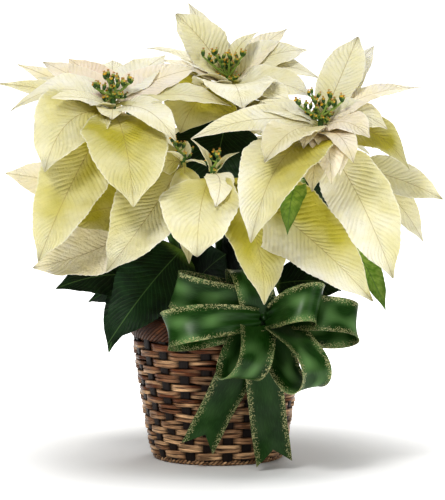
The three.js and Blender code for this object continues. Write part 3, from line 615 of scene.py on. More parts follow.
# %% Bloom C, large and on the right
bloom(
    "C",
    (104, -80, 356),
    (59, 81, 85, 46, dict(arch=0, face=0.5, olive=0.4, widest=0.52, taper=0.72)),
    (61, 126, 76, 44, dict(arch=0.05, face=0.4, olive=0.05)),
    (162, 66, 19, 20, dict(arch=0.09, face=0.4, olive=0.2)),
    (21, 113, 32, 36, dict(arch=0.1, face=0.3, olive=0.1, pink=0.3)),
    (176, 81, 10, 24, dict(arch=0.1, face=0.4, olive=0.2)),
    (189, 133, -19, 34, dict(arch=0.1, face=0.5, olive=0.22)),
    (0, 68, -10, 44, dict(arch=0.23, face=0.5, olive=0.4, crinkle=1)),
    (328, 57, -18, 44, dict(arch=0.2, face=0.4, olive=0.15, pink=0.4)),
    (234, 99, -41, 56, dict(arch=0.14, face=0.2, olive=0.6, pink=0.15, crinkle=0.9)),
    (249, 54, -28, 26, dict(arch=0.18, olive=0.2, pink=0.4)),
    (12, 94, -52, 54, dict(arch=0.2, face=0.5, olive=1.5)),
    (297, 67, -42, 34, dict(arch=0.18, face=0.2, olive=0.2, pink=0.4)),
    (287, 58, -55, 38, dict(arch=0.2, olive=0.2, pink=0.3)),
    (261, 71, -70, 36, dict(arch=0.1, olive=0.2, pink=0.4)),
    (233, 119, -119, 88, dict(arch=0.17, face=0.25, widest=0.32, olive=0.8, side=-0.6)),
    (278, 61, -63, 38, dict(arch=0.24, olive=0.2, pink=0.5)),
    (334, 80, -159, 72, dict(arch=0.04, face=0.7, stalk=0.12, olive=0.4, side=-1.0)),
)

# %% Blooms D and E, small and in the middle
bloom(
    "D",
    (-5, -90, 305),
    (157, 25, 32, 14, dict(olive=0.5)),
    (29, 31, 18, 16, dict(olive=0.4)),
    (273, 50, -35, 30, dict(arch=0.15, bend=-0.1, olive=0.05)),
    (348, 164, -130, 80, dict(arch=0.05, face=0.75, stalk=0.2, widest=0.31, olive=0.8, side=-0.9)),
    (253, 53, -84, 82, dict(arch=0.17, widest=0.48, taper=0.72, olive=0.7)),
    (316, 71, -132, 76, dict(arch=0.1, bend=-0.06, face=0.4, olive=1.25)),
)
bloom(
    "E",
    (-35, -75, 317),
    (77, 15, 17, 14, dict(olive=0.5)),
    (223, 25, 7, 14, dict(olive=0.4)),
    (337, 26, -8, 16, dict(olive=0.4)),
    (284, 25, -106, 36, dict(arch=0.02, olive=0.7)),
    (192, 36, -7, 36, dict(face=0.6, olive=0.9)),
    (213, 91, -112, 82, dict(arch=-0.02, face=0.5, olive=0.6, side=0.4, quilt=0.4)),
)

# %% Low bracts on the left and at the right edge
bloom(
    "H",
    (-70, -35, 258),
    (171, 154, 41, 50, dict(arch=0.05, face=0.85, stalk=0.3, olive=0.25, pink=0.35)),
    (186, 89, -12, 60, dict(arch=0.15, face=0.7, olive=1.5)),
    (193, 123, -54, 60, dict(arch=-0.07, face=0.6, stalk=0.15, widest=0.5, olive=0.2, pink=0.25)),
)
bloom(
    "R",
    (139, 10, 304),
    (342, 100, -32, 46, dict(arch=0.05, face=0.6, olive=0.35)),
    (0, 77, -78, 44, dict(arch=0.09, face=0.6, olive=0.3)),
)

# %% [markdown]
# ## The blooms at the back
# The blooms at the back grow by the rule that a real stem follows. Each leaf stands about 137.5 degrees round
# the stem from the last, and the lower a leaf is, the older, longer and wider it is. Two bracts of the bloom
# behind on the left grow otherwise, far out to the side.

# %% Bracts of the back blooms
GOLDEN_TURN = 137.508
BACK = dict(count=11, inner=46, outer=98, inner_wide=26, outer_wide=66, top=24, drop=92, sideways=0.35)
FAR_OUT = {
    1: dict(turn=171, reach=129, rise=67, wide=32, arch=0.05, face=0.7),
    9: dict(turn=184, reach=146, rise=46, wide=30, arch=0.1, face=0.7),
}
BACK_BLOOMS = {
    "K1": ((-92, 90, 346), 35, FAR_OUT),
    "K2": ((72, 92, 338), 80, {}),
    "K3": ((10, 132, 370), 215, {}),
}

for name, (centre, turn_from, unlike) in BACK_BLOOMS.items():
    bracts = []
    for i in range(BACK["count"]):
        share = i / (BACK["count"] - 1)
        turn = (turn_from + GOLDEN_TURN * i) % 360
        to_back = max(0, math.sin(math.radians(turn)))
        facing = BACK["sideways"] + (1 - BACK["sideways"]) * to_back
        reach = BACK["inner"] + (BACK["outer"] - BACK["inner"]) * math.sqrt(share)
        rise = BACK["top"] - BACK["drop"] * facing * share
        wide = BACK["inner_wide"] + (BACK["outer_wide"] - BACK["inner_wide"]) * share
        extras = dict(arch=0.15, olive=0.2 + 0.4 * share, pink=0.3 * (1 - share))
        bracts.append(dict(turn=turn, reach=reach, rise=rise, wide=wide) | extras | unlike.get(i, {}))
    BLOOMS[name] = (centre, bracts)
print("blooms in all:", len(BLOOMS))


# %% Build the bracts
def heading(turn):
    """The level direction of a turn in degrees, seen from above."""
    angle = math.radians(turn)
    return np.array([math.cos(angle), math.sin(angle), 0])


def bracts_of(name):
    """Builds a bloom's bracts round its hub, from the highest to the lowest."""
    centre, bracts = BLOOMS[name]
    rng = np.random.default_rng(sum(map(ord, name)))
    blades = []
    for index, own in enumerate(bracts):
        leaf = BRACT | own
        base = np.array(centre) + heading(leaf["turn"]) * (HUB["radius"] - HUB["inset"])
        base[2] -= HUB["step"] * (index + 1)
        tip = np.array(centre) + heading(leaf["turn"]) * leaf["reach"] + [0, 0, leaf["rise"]]
        blades.append(blade(base, tip, leaf, rng))
    made = as_one(f"bloom_{name}", blades, cream_tissue)
    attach(made, "root")
    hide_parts(f"bracts_{name}")
    return made


blooms = {name: bracts_of(name) for name in BLOOMS}
print("faces of the bracts:", sum(len(made.data.polygons) for made in blooms.values()))

# %% [markdown]
# ## Growing pieces with Geometry Nodes
# Stems, cups, reeds and crumbs repeat one small shape along paths or over points. A Geometry Nodes tree makes
# each of them from a few named sizes. The next helpers start a tree, end it, and turn its result into a plain
# mesh, because the finished part carries no modifiers and no instances.


# %% Helpers for Geometry Nodes
def start_tree(name, **inputs):
    """A new tree and its input node. Each input is given by its kind of socket."""
    tree = bpy.data.node_groups.new(name, "GeometryNodeTree")
    tree.interface.new_socket("Geometry", in_out="INPUT", socket_type="NodeSocketGeometry")
    for label, kind in inputs.items():
        label = label.replace("_", " ")
        tree.interface.new_socket(label, in_out="INPUT", socket_type="NodeSocket" + kind)
    tree.interface.new_socket("Geometry", in_out="OUTPUT", socket_type="NodeSocketGeometry")
    return tree, tree.nodes.new("NodeGroupInput").outputs


def end_tree(tree, geometry, material, flat=False):
    """Realizes the instances, shades them and gives them their material."""
    whole = add(tree, "RealizeInstances", {"Geometry": geometry})
    shaded = add(tree, "SetShadeSmooth", {"Geometry": whole, "Shade Smooth": not flat})
    painted = add(tree, "SetMaterial", {"Geometry": shaded, "Material": material})
    add(tree, "GroupOutput", {0: painted})


def grow(name, tree, seed, **inputs):
    """Runs a tree on a seed object and returns what it grows as a plain mesh object."""
    modifier = seed.modifiers.new(name, "NODES")
    modifier.node_group = tree
    for item in tree.interface.items_tree:
        key = item.name.replace(" ", "_")
        if item.item_type == "SOCKET" and item.in_out == "INPUT" and key in inputs:
            modifier[item.identifier] = inputs[key]
    bpy.context.view_layer.update()
    evaluated = seed.evaluated_get(bpy.context.evaluated_depsgraph_get())
    mesh = bpy.data.meshes.new_from_object(evaluated)
    mesh.name = name
    made = bpy.data.objects.new(name, mesh)
    bpy.context.scene.collection.objects.link(made)
    bpy.data.objects.remove(seed)
    print(name, "faces:", len(mesh.polygons))
    return made


def seed_of(name, points, edges=(), **values):
    """A seed of points and edges in millimetres, with a value of each kind at every point."""
    mesh = bpy.data.meshes.new(name)
    mesh.from_pydata([tuple(p) for p in np.asarray(points, float) * MM], list(edges), [])
    for key, numbers in values.items():
        numbers = np.asarray(numbers, np.float32)
        kind = "FLOAT_VECTOR" if numbers.ndim == 2 else "FLOAT"
        attribute = mesh.attributes.new(key, kind, "POINT")
        attribute.data.foreach_set("vector" if numbers.ndim == 2 else "value", numbers.ravel())
    made = bpy.data.objects.new(name, mesh)
    bpy.context.scene.collection.objects.link(made)
    return made


# %% [markdown]
# ## Green stems
# Each plant in the pot has one upright stem that forks, and every fork carries a bloom. A stem is a tube that
# thins towards its end, so the tree sweeps a circle along a smooth curve, and the girth comes from the path's
# own points.

# %% Stem tubes
tree, given = start_tree("tapered_tubes", Sides="Int", Step="Float", Material="Material")
path = add(tree, "MeshToCurve", {"Mesh": given["Geometry"]})
smooth = add(tree, "CurveSplineType", {"Curve": path}, spline_type="CATMULL_ROM")
fine = add(tree, "ResampleCurve", {"Curve": smooth, "Length": given["Step"]}, mode="LENGTH")
girth = add(tree, "InputNamedAttribute", {"Name": "girth"}, data_type="FLOAT")
profile = add(tree, "CurvePrimitiveCircle", {"Resolution": given["Sides"], "Radius": 1.0})
tube = {"Curve": fine, "Profile Curve": profile, "Scale": girth, "Fill Caps": True}
end_tree(tree, add(tree, "CurveToMesh", tube), given["Material"])
tube_tree = tree


def tubes(name, paths, material, step=4.0, sides=12):
    """Tubes along paths. A path is a list of points, each with its radius, in millimetres."""
    points, edges, girths = [], [], []
    for path in paths:
        first = len(points)
        points += [p for p, _ in path]
        girths += [r * MM for _, r in path]
        edges += [(first + i, first + i + 1) for i in range(len(path) - 1)]
    seed = seed_of(name + "_seed", points, edges, girth=girths)
    return grow(name, tube_tree, seed, Sides=sides, Step=step * MM, Material=material)


# %% Stem material
# A young stem is smooth and green with faint streaks along it, and its foot has turned woody and brown.
green_stem, tree, shader = finish_of("green_stem", Roughness=0.45)
streaks = patches(tree, 9, stretch=(1, 1, 0.25))
height = add(tree, "SeparateXYZ", (add(tree, "TexCoord").outputs["Object"],)).outputs["Z"]
woody = add(tree, "MapRange", (height, 0.2, 0.13))
paint(tree, shader, "#4f7a2c", (streaks, "#34571f"), (woody, "#5b4a2c"))
stem_bump = add(tree, "Bump", {"Strength": 0.4, "Distance": 0.4 * MM, "Height": patches(tree, 2)})
connect(tree, stem_bump, shader.inputs["Normal"])
print("stem finish:", len(tree.nodes), "nodes")

# %% Heights in the pot
GAP = 0.35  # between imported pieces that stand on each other, mm
POT_HEIGHT = 128
POT_FLOOR = 5 + GAP  # on a basket floor 5 mm thick
POT_TOP = POT_FLOOR + POT_HEIGHT
SOIL_DOWN = 14  # from the pot's lip to the soil's edge
SOIL_HEAP = 5  # from there up to the middle of the heap
SOIL_EDGE = POT_TOP - SOIL_DOWN
SOIL_TOP = SOIL_EDGE + SOIL_HEAP
print("top of the soil:", round(SOIL_TOP, 2), "mm")

# %% Stems and their branches
STEMS = {
    "left": {
        "foot": (-32, -4),
        "branches": {
            "A": [(-46, -30, 225), (-78, -58, 310)],
            "E": [(-33, -40, 225), (-35, -66, 278)],
            "H": [(-50, -8, 205)],
            "K1": [(-50, 36, 240), (-66, 62, 278)],
        },
        "leaves": rows_of(
            ("root", *TURN_FIRST),
            ((-32, -4, 160), 152, 122, -2, 66, dict(face=0.5)),
            ((-32, -4, 168), 118, 112, -8, 60),
            ((-66, 62, 278), 165, 108, -52, 58),
            ((-33, -40, 225), 204, 87, -98, 80, dict(arch=0.03, face=0.7, widest=0.32, stalk=0.06)),
            ((-32, -4, 172), 215, 98, -56, 50, dict(arch=0.28, face=0.5)),
            ((-32, -4, 162), 193, 140, 18, 58, dict(face=0.6, shoulder=0.3)),
            ((-32, -4, 170), 308, 66, 48, 74, dict(arch=0.06, face=0.8)),
        ),
    },
    "middle": {
        "foot": (2, 22),
        "branches": {
            "B": [(3, 23, 214), (9, 28, 330)],
            "D": [(0, -20, 235), (-4, -78, 275)],
            "K3": [(4, 56, 250), (5, 84, 286)],
        },
        "leaves": rows_of(
            ("root", *TURN_FIRST),
            ((2, 22, 164), 84, 124, 10, 62),
            ((4, 56, 250), 112, 116, -52, 62),
            ((5, 84, 286), 72, 112, -58, 60),
            ((11, 30, 359), 250, 60, -96, 96, dict(arch=0.04, face=0.85, stalk=0.1)),
            ((2, 22, 172), 300, 84, 40, 78, dict(arch=0.08, face=0.8)),
        ),
    },
    "right": {
        "foot": (34, -8),
        "branches": {
            "C": [(56, -34, 225), (88, -68, 300)],
            "R": [(80, 0, 225), (106, 4, 252)],
            "K2": [(46, 24, 235), (60, 56, 277)],
        },
        "leaves": rows_of(
            ("root", *TURN_FIRST),
            ((34, -8, 160), 38, 126, 8, 60),
            ((34, -8, 166), 352, 126, 6, 56),
            ((60, 56, 277), 34, 104, -46, 58, dict(face=0.5)),
            ((34, -8, 172), 326, 122, 14, 50, dict(arch=0.08, face=0.7)),
            ((88, -68, 300), 252, 60, -58, 26, dict(arch=0.2, face=0.6, stalk=0.2, olive=1.0)),
            ((106, 4, 252), 316, 92, -92, 30, dict(arch=0.1, face=0.6, olive=1.0)),
        ),
    },
}
print("green leaves:", sum(len(stem["leaves"]) for stem in STEMS.values()))

# %% Paths of the stems
# In millimetres: how far the foot is sunk in the soil and the waist stands over it, how high the middle and
# the top of the stem are, and how far under the top it forks.
STEM = dict(sunk=45, waist=6, middle=150, top=176, fork=8)
STEM_RADII = (5.6, 5.4, 5.0, 4.4)  # at the foot, the waist, the middle and the top
BRANCH_RADII = (3.6, 3.0)  # where it leaves the stem and where it ends
HUB_RADII = (3.3, 2.6)  # under the lowest bract and above the highest
UPRIGHT = 14  # mm that a branch runs straight up under its bloom


def stem_paths(stem):
    """The paths of a plant: its upright stem, and each branch on to the middle of its bloom."""
    foot = stem["foot"]
    heights = (SOIL_TOP - STEM["sunk"], SOIL_TOP + STEM["waist"], STEM["middle"], STEM["top"])
    paths = [[((*foot, height), radius) for height, radius in zip(heights, STEM_RADII)]]
    for name, way in stem["branches"].items():
        (x, y, z), bracts = BLOOMS[name]
        under = z - (HUB["step"] * len(bracts) + HUB["below"])
        start = (*foot, STEM["top"] - STEM["fork"])
        points = [start, *way, (x, y, under - UPRIGHT), (x, y, under), (x, y, z + HUB["above"])]
        radii = np.linspace(*BRANCH_RADII, len(points))
        radii[-2:] = HUB_RADII
        paths.append(list(zip(points, radii)))
    return paths


# %% [markdown]
# ## Green leaves
# Below the bracts the leaves stay green. They are darker, thicker and glossier, with a waxy skin over pale
# veins, so the same blade gets another finish. Two young leaves under the right-hand bloom are still light.

# %% Leaf material
green_blade, tree, shader = finish_of("waxy_green_leaf", Roughness=0.48)
shader.inputs["Specular IOR Level"].default_value = 0.22
own = {key: add(tree, "Attribute", attribute_name=key) for key in ("olive", "rib", "stalk")}
cloudy = add(tree, "MapRange", (patches(tree, 18), 0.35, 0.65))
dappled = add(tree, "MapRange", (patches(tree, 7), 0.35, 0.65))
young = add(tree, "Mix", (dappled, "#b0cc62", "#7aa53a"), data_type="RGBA")
veins = add(tree, "Math", (line_at(tree, vein_distance(tree), 0.1), 0.3), operation="MULTIPLY")
midrib_line = add(tree, "Math", (line_at(tree, own["rib"], 0.75), 0.7), operation="MULTIPLY")
paint(
    tree,
    shader,
    "#0b1f0d",
    (cloudy, "#183617"),
    (own["olive"], young),
    (veins, "#3f6634"),
    (midrib_line, "#5b7a44"),
    (own["stalk"], "#4c5f29"),
)
blade_relief(tree, shader, quilt=0.35, crumple=1.2, grain=0.3)
print("leaf tissue:", len(tree.nodes), "nodes")


# %% Build the stems and leaves
def plant_of(name):
    """Builds a plant's stems and green leaves."""
    stem = STEMS[name]
    rng = np.random.default_rng(sum(map(ord, name)))
    stalks = tubes(f"stalks_{name}", stem_paths(stem), green_stem)
    blades = []
    for own in stem["leaves"]:
        leaf = LEAF | own
        root = np.array(leaf["root"], float)
        tip = root + heading(leaf["turn"]) * leaf["reach"] + [0, 0, leaf["rise"]]
        blades.append(blade(root, tip, leaf, rng))
    leaves = as_one(f"leaves_{name}", blades, green_blade)
    for piece in (stalks, leaves):
        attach(piece, "root")
        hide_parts(f"stem_{name}")


for name in STEMS:
    plant_of(name)
print("plants:", len(STEMS))

# %% [markdown]
# ## The true flowers
# In the middle of each ring of bracts stand the cyathia: small green cups on forked stalks. Each cup has a
# yellow gland with two lips on one side, and a tuft of red and yellow stamens in its mouth. The forks are
# tubes, and one tree sets a cup, a gland or a tuft on every stalk's end, turned the way that the stalk leans.

# %% Where the cups stand
FORKS = {
    "A": [(-18, -5, 10), (-5, 2, 20), (5, -6, 17), (17, -3, 15)],
    "B": [(-27, -16, 24), (-13, -13, 26), (1, -12, 22), (14, -14, 24)],
    "C": [(-22, -4, 14), (-9, -2, 26), (9, -4, 22), (21, -6, 18)],
    "D": [(6, -8, 15)],
    "E": [(-9, -9, 15)],
    "H": [(0, 0, 10)],
    "R": [(1, 0, 16)],
}
FORKS |= {name: [(-5, 3, 18), (5, 1, 20)] for name in BACK_BLOOMS}
CUPS_EACH = 6  # on a fork
LOW_CUPS = {4: 12, 3: 10, 2: 6, 1: 4}  # round the hub, by how many forks a bloom has
FORK_TURN = 70  # degrees from one fork's first cup to the next fork's
FORK_RADII = (1.5, 1.2, 0.9)
SAG = 1.5  # mm that a fork hangs through in its middle
CUPS_DOWN = 0.75  # share of a fork that carries cups
print("blooms with cups:", len(FORKS))


# %% Cups on their forks
def cup_at(foot, lean, size):
    """A cup's foot, the way it is turned, and its size. The lean tips it over from upright."""
    tilt = unit(lean + [0, 0, 1.0])
    return foot, Vector(tilt).to_track_quat("Z", "Y").to_euler(), size


def fork_cups(base, tip, fork, rng):
    """The paths and the cups of one fork. Its first cup ends it, and the others stand off its side."""
    middle = base * 0.45 + tip * 0.55 + [0, 0, -SAG]
    paths = [list(zip((base, middle, tip), FORK_RADII))]
    cups = []
    for i in range(CUPS_EACH):
        away = heading(GOLDEN_TURN * i + FORK_TURN * fork + rng.uniform(-20, 20))
        if i == 0:
            foot, slope = tip, 0.1
        else:
            start = tip + (base - tip) * CUPS_DOWN * i / CUPS_EACH
            foot = start + away * rng.uniform(2.6, 4.4) + [0, 0, rng.uniform(0.0, 2.5)]
            paths.append([(start, 0.8), ((start + foot) / 2 + away * 0.4, 0.7), (foot, 0.7)])
            slope = rng.uniform(0.15, 0.6)
        cups.append(cup_at(foot, away * slope, rng.uniform(0.95, 1.3)))
    return paths, cups


def low_cups(base, count, rng):
    """The paths and the cups low round the hub. Those at the back stand higher."""
    paths, cups = [], []
    for i in range(count):
        away = heading(GOLDEN_TURN * i)
        rise = rng.uniform(-7.0, -1.0) + 7 * max(0, away[1])
        foot = base + away * (5 + 10 * i / count) + [0, 0, rise]
        paths.append([(base - [0, 0, 3], 1.0), ((base + foot) / 2 - [0, 0, 1], 0.8), (foot, 0.8)])
        cups.append(cup_at(foot, away * rng.uniform(0.3, 0.8), rng.uniform(0.8, 1.15)))
    return paths, cups


fork_paths, all_cups = [], []
rng = np.random.default_rng(11)
for name, ends in FORKS.items():
    centre = np.array(BLOOMS[name][0], float)
    base = centre + [0, 0, HUB["above"] - 1]
    grown = [fork_cups(base, centre + end, fork, rng) for fork, end in enumerate(ends)]
    grown.append(low_cups(base, LOW_CUPS[len(ends)], rng))
    for paths, cups in grown:
        fork_paths += paths
        all_cups += cups
print("cups:", len(all_cups))

# %% Finishes of the true flowers
# A cup is smooth green tissue that pales to yellow at its mouth.
cup_green, tree, shader = finish_of("cup_green", Roughness=0.4)
up = add(tree, "MapRange", (add(tree, "Attribute", attribute_name="up"), 0.55, 1.0))
paint(tree, shader, "#0f2a12", (patches(tree, 3), "#4a7426"), (up, "#b0b450"))
# Glands are wet with nectar, stamens are dusty with pollen, and the forks are smooth as young stems are.
gland_yellow, tree, shader = finish_of("gland_yellow", Roughness=0.3)
paint(tree, shader, "#e3c23c", (patches(tree, 6), "#d0902a"))
stamen_red, tree, shader = finish_of("stamen_red", Roughness=0.6)
paint(tree, shader, "#a8562a", (patches(tree, 4), "#e0c26a"))
stalk_green, tree, shader = finish_of("flower_stalk_green", Roughness=0.45)
paint(tree, shader, "#a9b95c", (patches(tree, 7), "#5b8030"))
print("flower finishes:", cup_green.name, gland_yellow.name, stamen_red.name, stalk_green.name)


# %% Cup, gland and tuft
CUP_HEIGHT = 5.6  # mm
CUP_PROFILE = [(0.6, 0), (1.2, 0.7), (1.7, 2.2), (1.75, 3.6), (1.4, 5.0), (1.05, CUP_HEIGHT), (0.5, 5.2)]
GLAND_PROFILE = [(0.3, -0.75), (0.9, -0.4), (1.0, 0.2), (0.75, 0.6), (0.3, 0.35)]
GLAND = dict(stretch=(1.1, 1.7, 1.2), place=(1.6, 0, 4.5))
STAMEN_PROFILE = [(0.16, 4.8), (0.16, 6.4), (0.42, 6.6), (0.4, 7.1), (0.1, 7.3)]
STAMENS = 5
STAMEN_AWAY = 0.65  # mm from the cup's axis


def turned(name, profile, sides, material, stretch=(1, 1, 1), place=(0, 0, 0)):
    """A shape turned round the upright axis from pairs of radius and height. Both its ends are closed."""
    points = []
    for radius, height in profile:
        points += [np.array(point) * stretch + place for point in ring(radius, height, sides)]
    faces = between_rings(len(profile), sides)
    last = (len(profile) - 1) * sides
    faces += [tuple(reversed(range(sides))), tuple(last + j for j in range(sides))]
    made = object_from(name, points, faces, [material])
    ups = np.repeat([high / CUP_HEIGHT for _, high in profile], sides)
    made.data.attributes.new("up", "FLOAT", "POINT").data.foreach_set("value", ups.astype(np.float32))
    return made


def joined(name, objects):
    """Several mesh objects as one."""
    with bpy.context.temp_override(active_object=objects[0], selected_editable_objects=objects):
        bpy.ops.object.join()
    objects[0].name = name
    return objects[0]


cup_shape = turned("cup_shape", CUP_PROFILE, 9, cup_green)
gland_shape = turned("gland_shape", GLAND_PROFILE, 7, gland_yellow, **GLAND)
stamens = []
for k in range(STAMENS):
    away = heading(360 / STAMENS * k) * STAMEN_AWAY
    stamens.append(turned(f"stamen_{k}", STAMEN_PROFILE, 5, stamen_red, place=away))
tuft_shape = joined("tuft_shape", stamens)
print("faces of a tuft:", len(tuft_shape.data.polygons))

# %% Set the flowers on their stalks
tree, given = start_tree("set_on_stalks", Shape="Object", Material="Material")
shape = add(tree, "ObjectInfo", {"Object": given["Shape"]}).outputs["Geometry"]
lean = add(tree, "InputNamedAttribute", {"Name": "lean"}, data_type="FLOAT_VECTOR")
turn = add(tree, "EulerToRotation", (lean,))
size = add(tree, "InputNamedAttribute", {"Name": "size"}, data_type="FLOAT")
on_stalks = {"Points": given["Geometry"], "Instance": shape, "Rotation": turn, "Scale": size}
end_tree(tree, add(tree, "InstanceOnPoints", on_stalks), given["Material"])
setting_tree = tree


def set_on_stalks(name, shape, material):
    """Sets a copy of a shape on every stalk, and removes the shape itself."""
    feet, leans, sizes = zip(*all_cups)
    seed = seed_of(name + "_seed", feet, lean=np.array(leans), size=sizes)
    made = grow(name, setting_tree, seed, Shape=shape, Material=material)
    bpy.data.objects.remove(shape)
    return made


forks = tubes("flower_stalks", fork_paths, stalk_green, step=1.6, sides=7)
cups = set_on_stalks("flower_cups", cup_shape, cup_green)
glands = set_on_stalks("flower_glands", gland_shape, gland_yellow)
tufts = set_on_stalks("flower_tufts", tuft_shape, stamen_red)
for piece in (forks, cups, glands, tufts):
    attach(piece, "root")
    for name in FORKS:
        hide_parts(f"cyathia_{name}")

# %% [markdown]
# ## The basket
# The basket is plain weave: 22 flat upright stakes, and flat reeds that pass in front of one stake and behind
# the next, with each row the other way round. The reeds follow a rule, so a tree makes them: every row is a
# circle that swings in and out as a wave, half a wave further on than the row below it. The stakes are one
# strip, set round the basket. The border is a bundle of reeds that wind round each other as they go.

# %% Basket sizes
BASKET = dict(foot=66, rim=87.5, top=126, stakes=22, rows=15, float_out=2.2, foot_height=6)
BASKET_BOTTOM = BASKET["foot_height"] + GAP
WALL_CURVE = 0.8  # under 1, so the wall bulges between its foot and its rim
REED = dict(strands=2, thick=2.4, overlap=0.6)  # each row of weaving is a pair of reeds
STAKE = dict(wide=10.5, thick=2.0, bottom=4, over_top=6, points=14)
print("height of a row of weaving:", round((BASKET["top"] - BASKET_BOTTOM) / BASKET["rows"], 2), "mm")


def wall_radius(height):
    """The radius of the basket's wall at a height."""
    share = (max(height, 0) / BASKET["top"]) ** WALL_CURVE
    return BASKET["foot"] + (BASKET["rim"] - BASKET["foot"]) * share


# %% [markdown]
# ## Reed
# Stained willow reed is split wood: long fibres run along it, some dark and some light. One length takes the
# stain better than the next, and a thin varnish gives a soft gloss. Shade is painted dark into the splits
# between reeds, into the crevices of the border and foot ropes, where a reed dips behind a stake, and higher
# up the wall. The grain is drawn about twice as coarse as it is, because the fibres are too fine to show.

# %% Reed materials
FIBRE_LONG = 18.0  # mm
FIBRE_WIDE = 1.1
# The reeds are painted darker higher up the wall, as painted shade under the plant and the bow, and lighter
# low down.
HEIGHT_SHADE = dict(bottom=0.03, top=0.14, light=-0.3, dark=0.5)  # heights in metres, and the change of tone there


def reed_finish(name, light, middle, dark, upright=False, **settings):
    """Split reed. Its fibres run round the basket, or up it on a stake."""
    made, tree, shader = finish_of(name, **settings)
    shader.inputs["Specular IOR Level"].default_value = 0.25
    row = add(tree, "Attribute", attribute_name="row")
    # This value says where shade is painted dark: in the splits between reeds, in the rope's crevices, and
    # where a reed dips behind a stake.
    painted_shade = add(tree, "Attribute", attribute_name="painted_shade")
    place = add(tree, "SeparateXYZ", (add(tree, "TexCoord").outputs["Object"],)).outputs
    angle = add(tree, "Math", (place["Y"], place["X"]), operation="ARCTAN2")
    upward, around = (FIBRE_LONG, FIBRE_WIDE) if upright else (FIBRE_WIDE, FIBRE_LONG)
    fibre_round = add(tree, "Math", (angle, BASKET["foot"] / around), operation="MULTIPLY")
    fibre_up = add(tree, "Math", (place["Z"], 1000 / upward), operation="MULTIPLY")
    grain_place = add(tree, "CombineXYZ", (fibre_round, fibre_up, row))
    grain = add(tree, "TexNoise", {"Vector": grain_place, "Scale": 1.0, "Detail": 5.0, "Roughness": 0.65})

    # Lengths of one reed differ, and so do reeds. Painted shade darkens the reeds higher up the wall, and
    # they are painted lighter low down.
    length_round = add(tree, "Math", (angle, 1.6), operation="MULTIPLY")
    reed_apart = add(tree, "Math", (row, 3.7), operation="MULTIPLY")
    lengths = add(tree, "CombineXYZ", (length_round, reed_apart))
    each = add(tree, "TexNoise", {"Vector": lengths, "Scale": 1.0, "Detail": 1.0})
    tone = add(tree, "MapRange", (each, 0.4, 0.66))
    painted_height_shade = add(tree, "MapRange", (place["Z"], *HEIGHT_SHADE.values()))
    tone = add(tree, "Math", (tone, painted_height_shade), operation="SUBTRACT", use_clamp=True)
    streak = add(tree, "MapRange", (grain, 0.41, 0.64, 0, 0.9))
    paint(tree, shader, middle, (tone, light), (streak, dark), (painted_shade, dark))
    fibres = add(tree, "Bump", {"Strength": 0.8, "Distance": 0.8 * MM, "Height": grain})
    connect(tree, fibres, shader.inputs["Normal"])
    return made


# The weavers are the lightest, the stakes are nearly black, and the border lies between the two.
weaver_reed = reed_finish("stained_reed", "#f8ca9a", "#7a4524", "#130803", Roughness=0.32)
stake_reed = reed_finish("dark_stake_reed", "#2c180d", "#1b0e07", "#0b0502", upright=True, Roughness=0.5)
border_reed = reed_finish("wound_border_reed", "#a9693a", "#552f15", "#0c0502", Roughness=0.42)
print("reed finishes:", weaver_reed.name, stake_reed.name, border_reed.name)


# %% Hoops of reed
def numbered_hoops(tree, line, points):
    """A round hoop at each point of a line. Each hoop keeps its number as its row."""
    index = add(tree, "InputIndex")
    numbered = add(tree, "StoreNamedAttribute", (line, True, "row", index), data_type="FLOAT")
    circle = add(tree, "CurvePrimitiveCircle", {"Resolution": points, "Radius": 1.0})
    hoops = add(tree, "InstanceOnPoints", {"Points": numbered, "Instance": circle})
    return add(tree, "RealizeInstances", (hoops,))


def place_on_hoop(tree):
    """The row that a point belongs to, and the angle and the height at which it lies."""
    row = add(tree, "InputNamedAttribute", {"Name": "row"}, data_type="FLOAT")
    here = add(tree, "SeparateXYZ", (add(tree, "InputPosition"),)).outputs
    angle = add(tree, "Math", (here["Y"], here["X"]), operation="ARCTAN2")
    return row, angle, here["Z"]


def spot_at(tree, angle, out, height):
    """The spot at an angle round the basket, so far out from its axis and so high."""
    cosine = add(tree, "Math", (angle,), operation="COSINE")
    sine = add(tree, "Math", (angle,), operation="SINE")
    x = add(tree, "Math", (out, cosine), operation="MULTIPLY")
    y = add(tree, "Math", (out, sine), operation="MULTIPLY")
    return add(tree, "CombineXYZ", (x, y, height))


# %% Weaving: one hoop for each reed
POINTS_A_STAKE = 12  # of a hoop, from one stake to the next
tree, given = start_tree(
    "plain_weave",
    Rows="Int",
    Strands="Int",
    Bottom="Float",
    Top="Float",
    Foot="Float",
    Rim="Float",
    Waves="Int",
    Float_Out="Float",
    Reed_Thickness="Float",
    Overlap="Float",
    Seed="Int",
    Material="Material",
)
count = add(tree, "Math", (given["Rows"], given["Strands"]), operation="MULTIPLY")
wall = add(tree, "Math", (given["Top"], given["Bottom"]), operation="SUBTRACT")
pitch = add(tree, "Math", (wall, count), operation="DIVIDE")
lowest = add(tree, "Math", (pitch, 0.5, given["Bottom"]), operation="MULTIPLY_ADD")
start = add(tree, "CombineXYZ", {"Z": lowest})
step = add(tree, "CombineXYZ", {"Z": pitch})
levels = add(tree, "MeshLine", {"Count": count, "Start Location": start, "Offset": step})
rounds = numbered_hoops(tree, levels, BASKET["stakes"] * POINTS_A_STAKE)
row, angle, level = place_on_hoop(tree)

# %% Weaving: in and out
# Both reeds of a row swing together, and the next row swings the other way. A reed lies in front of a stake
# for longer than behind one, so its wave is stretched, pushed outwards and cut flat.
WAVE_STRETCH = 1.5
WAVE_PUSH = 0.4
JOG = 6.5  # mm, the span in which a reed wanders up and down
JOG_SCALE = 2.6  # one wave of that wandering is nearly 40 cm long
JOG_OUT = 0.35  # share of the wandering that also goes in and out
SLICE = 3.1

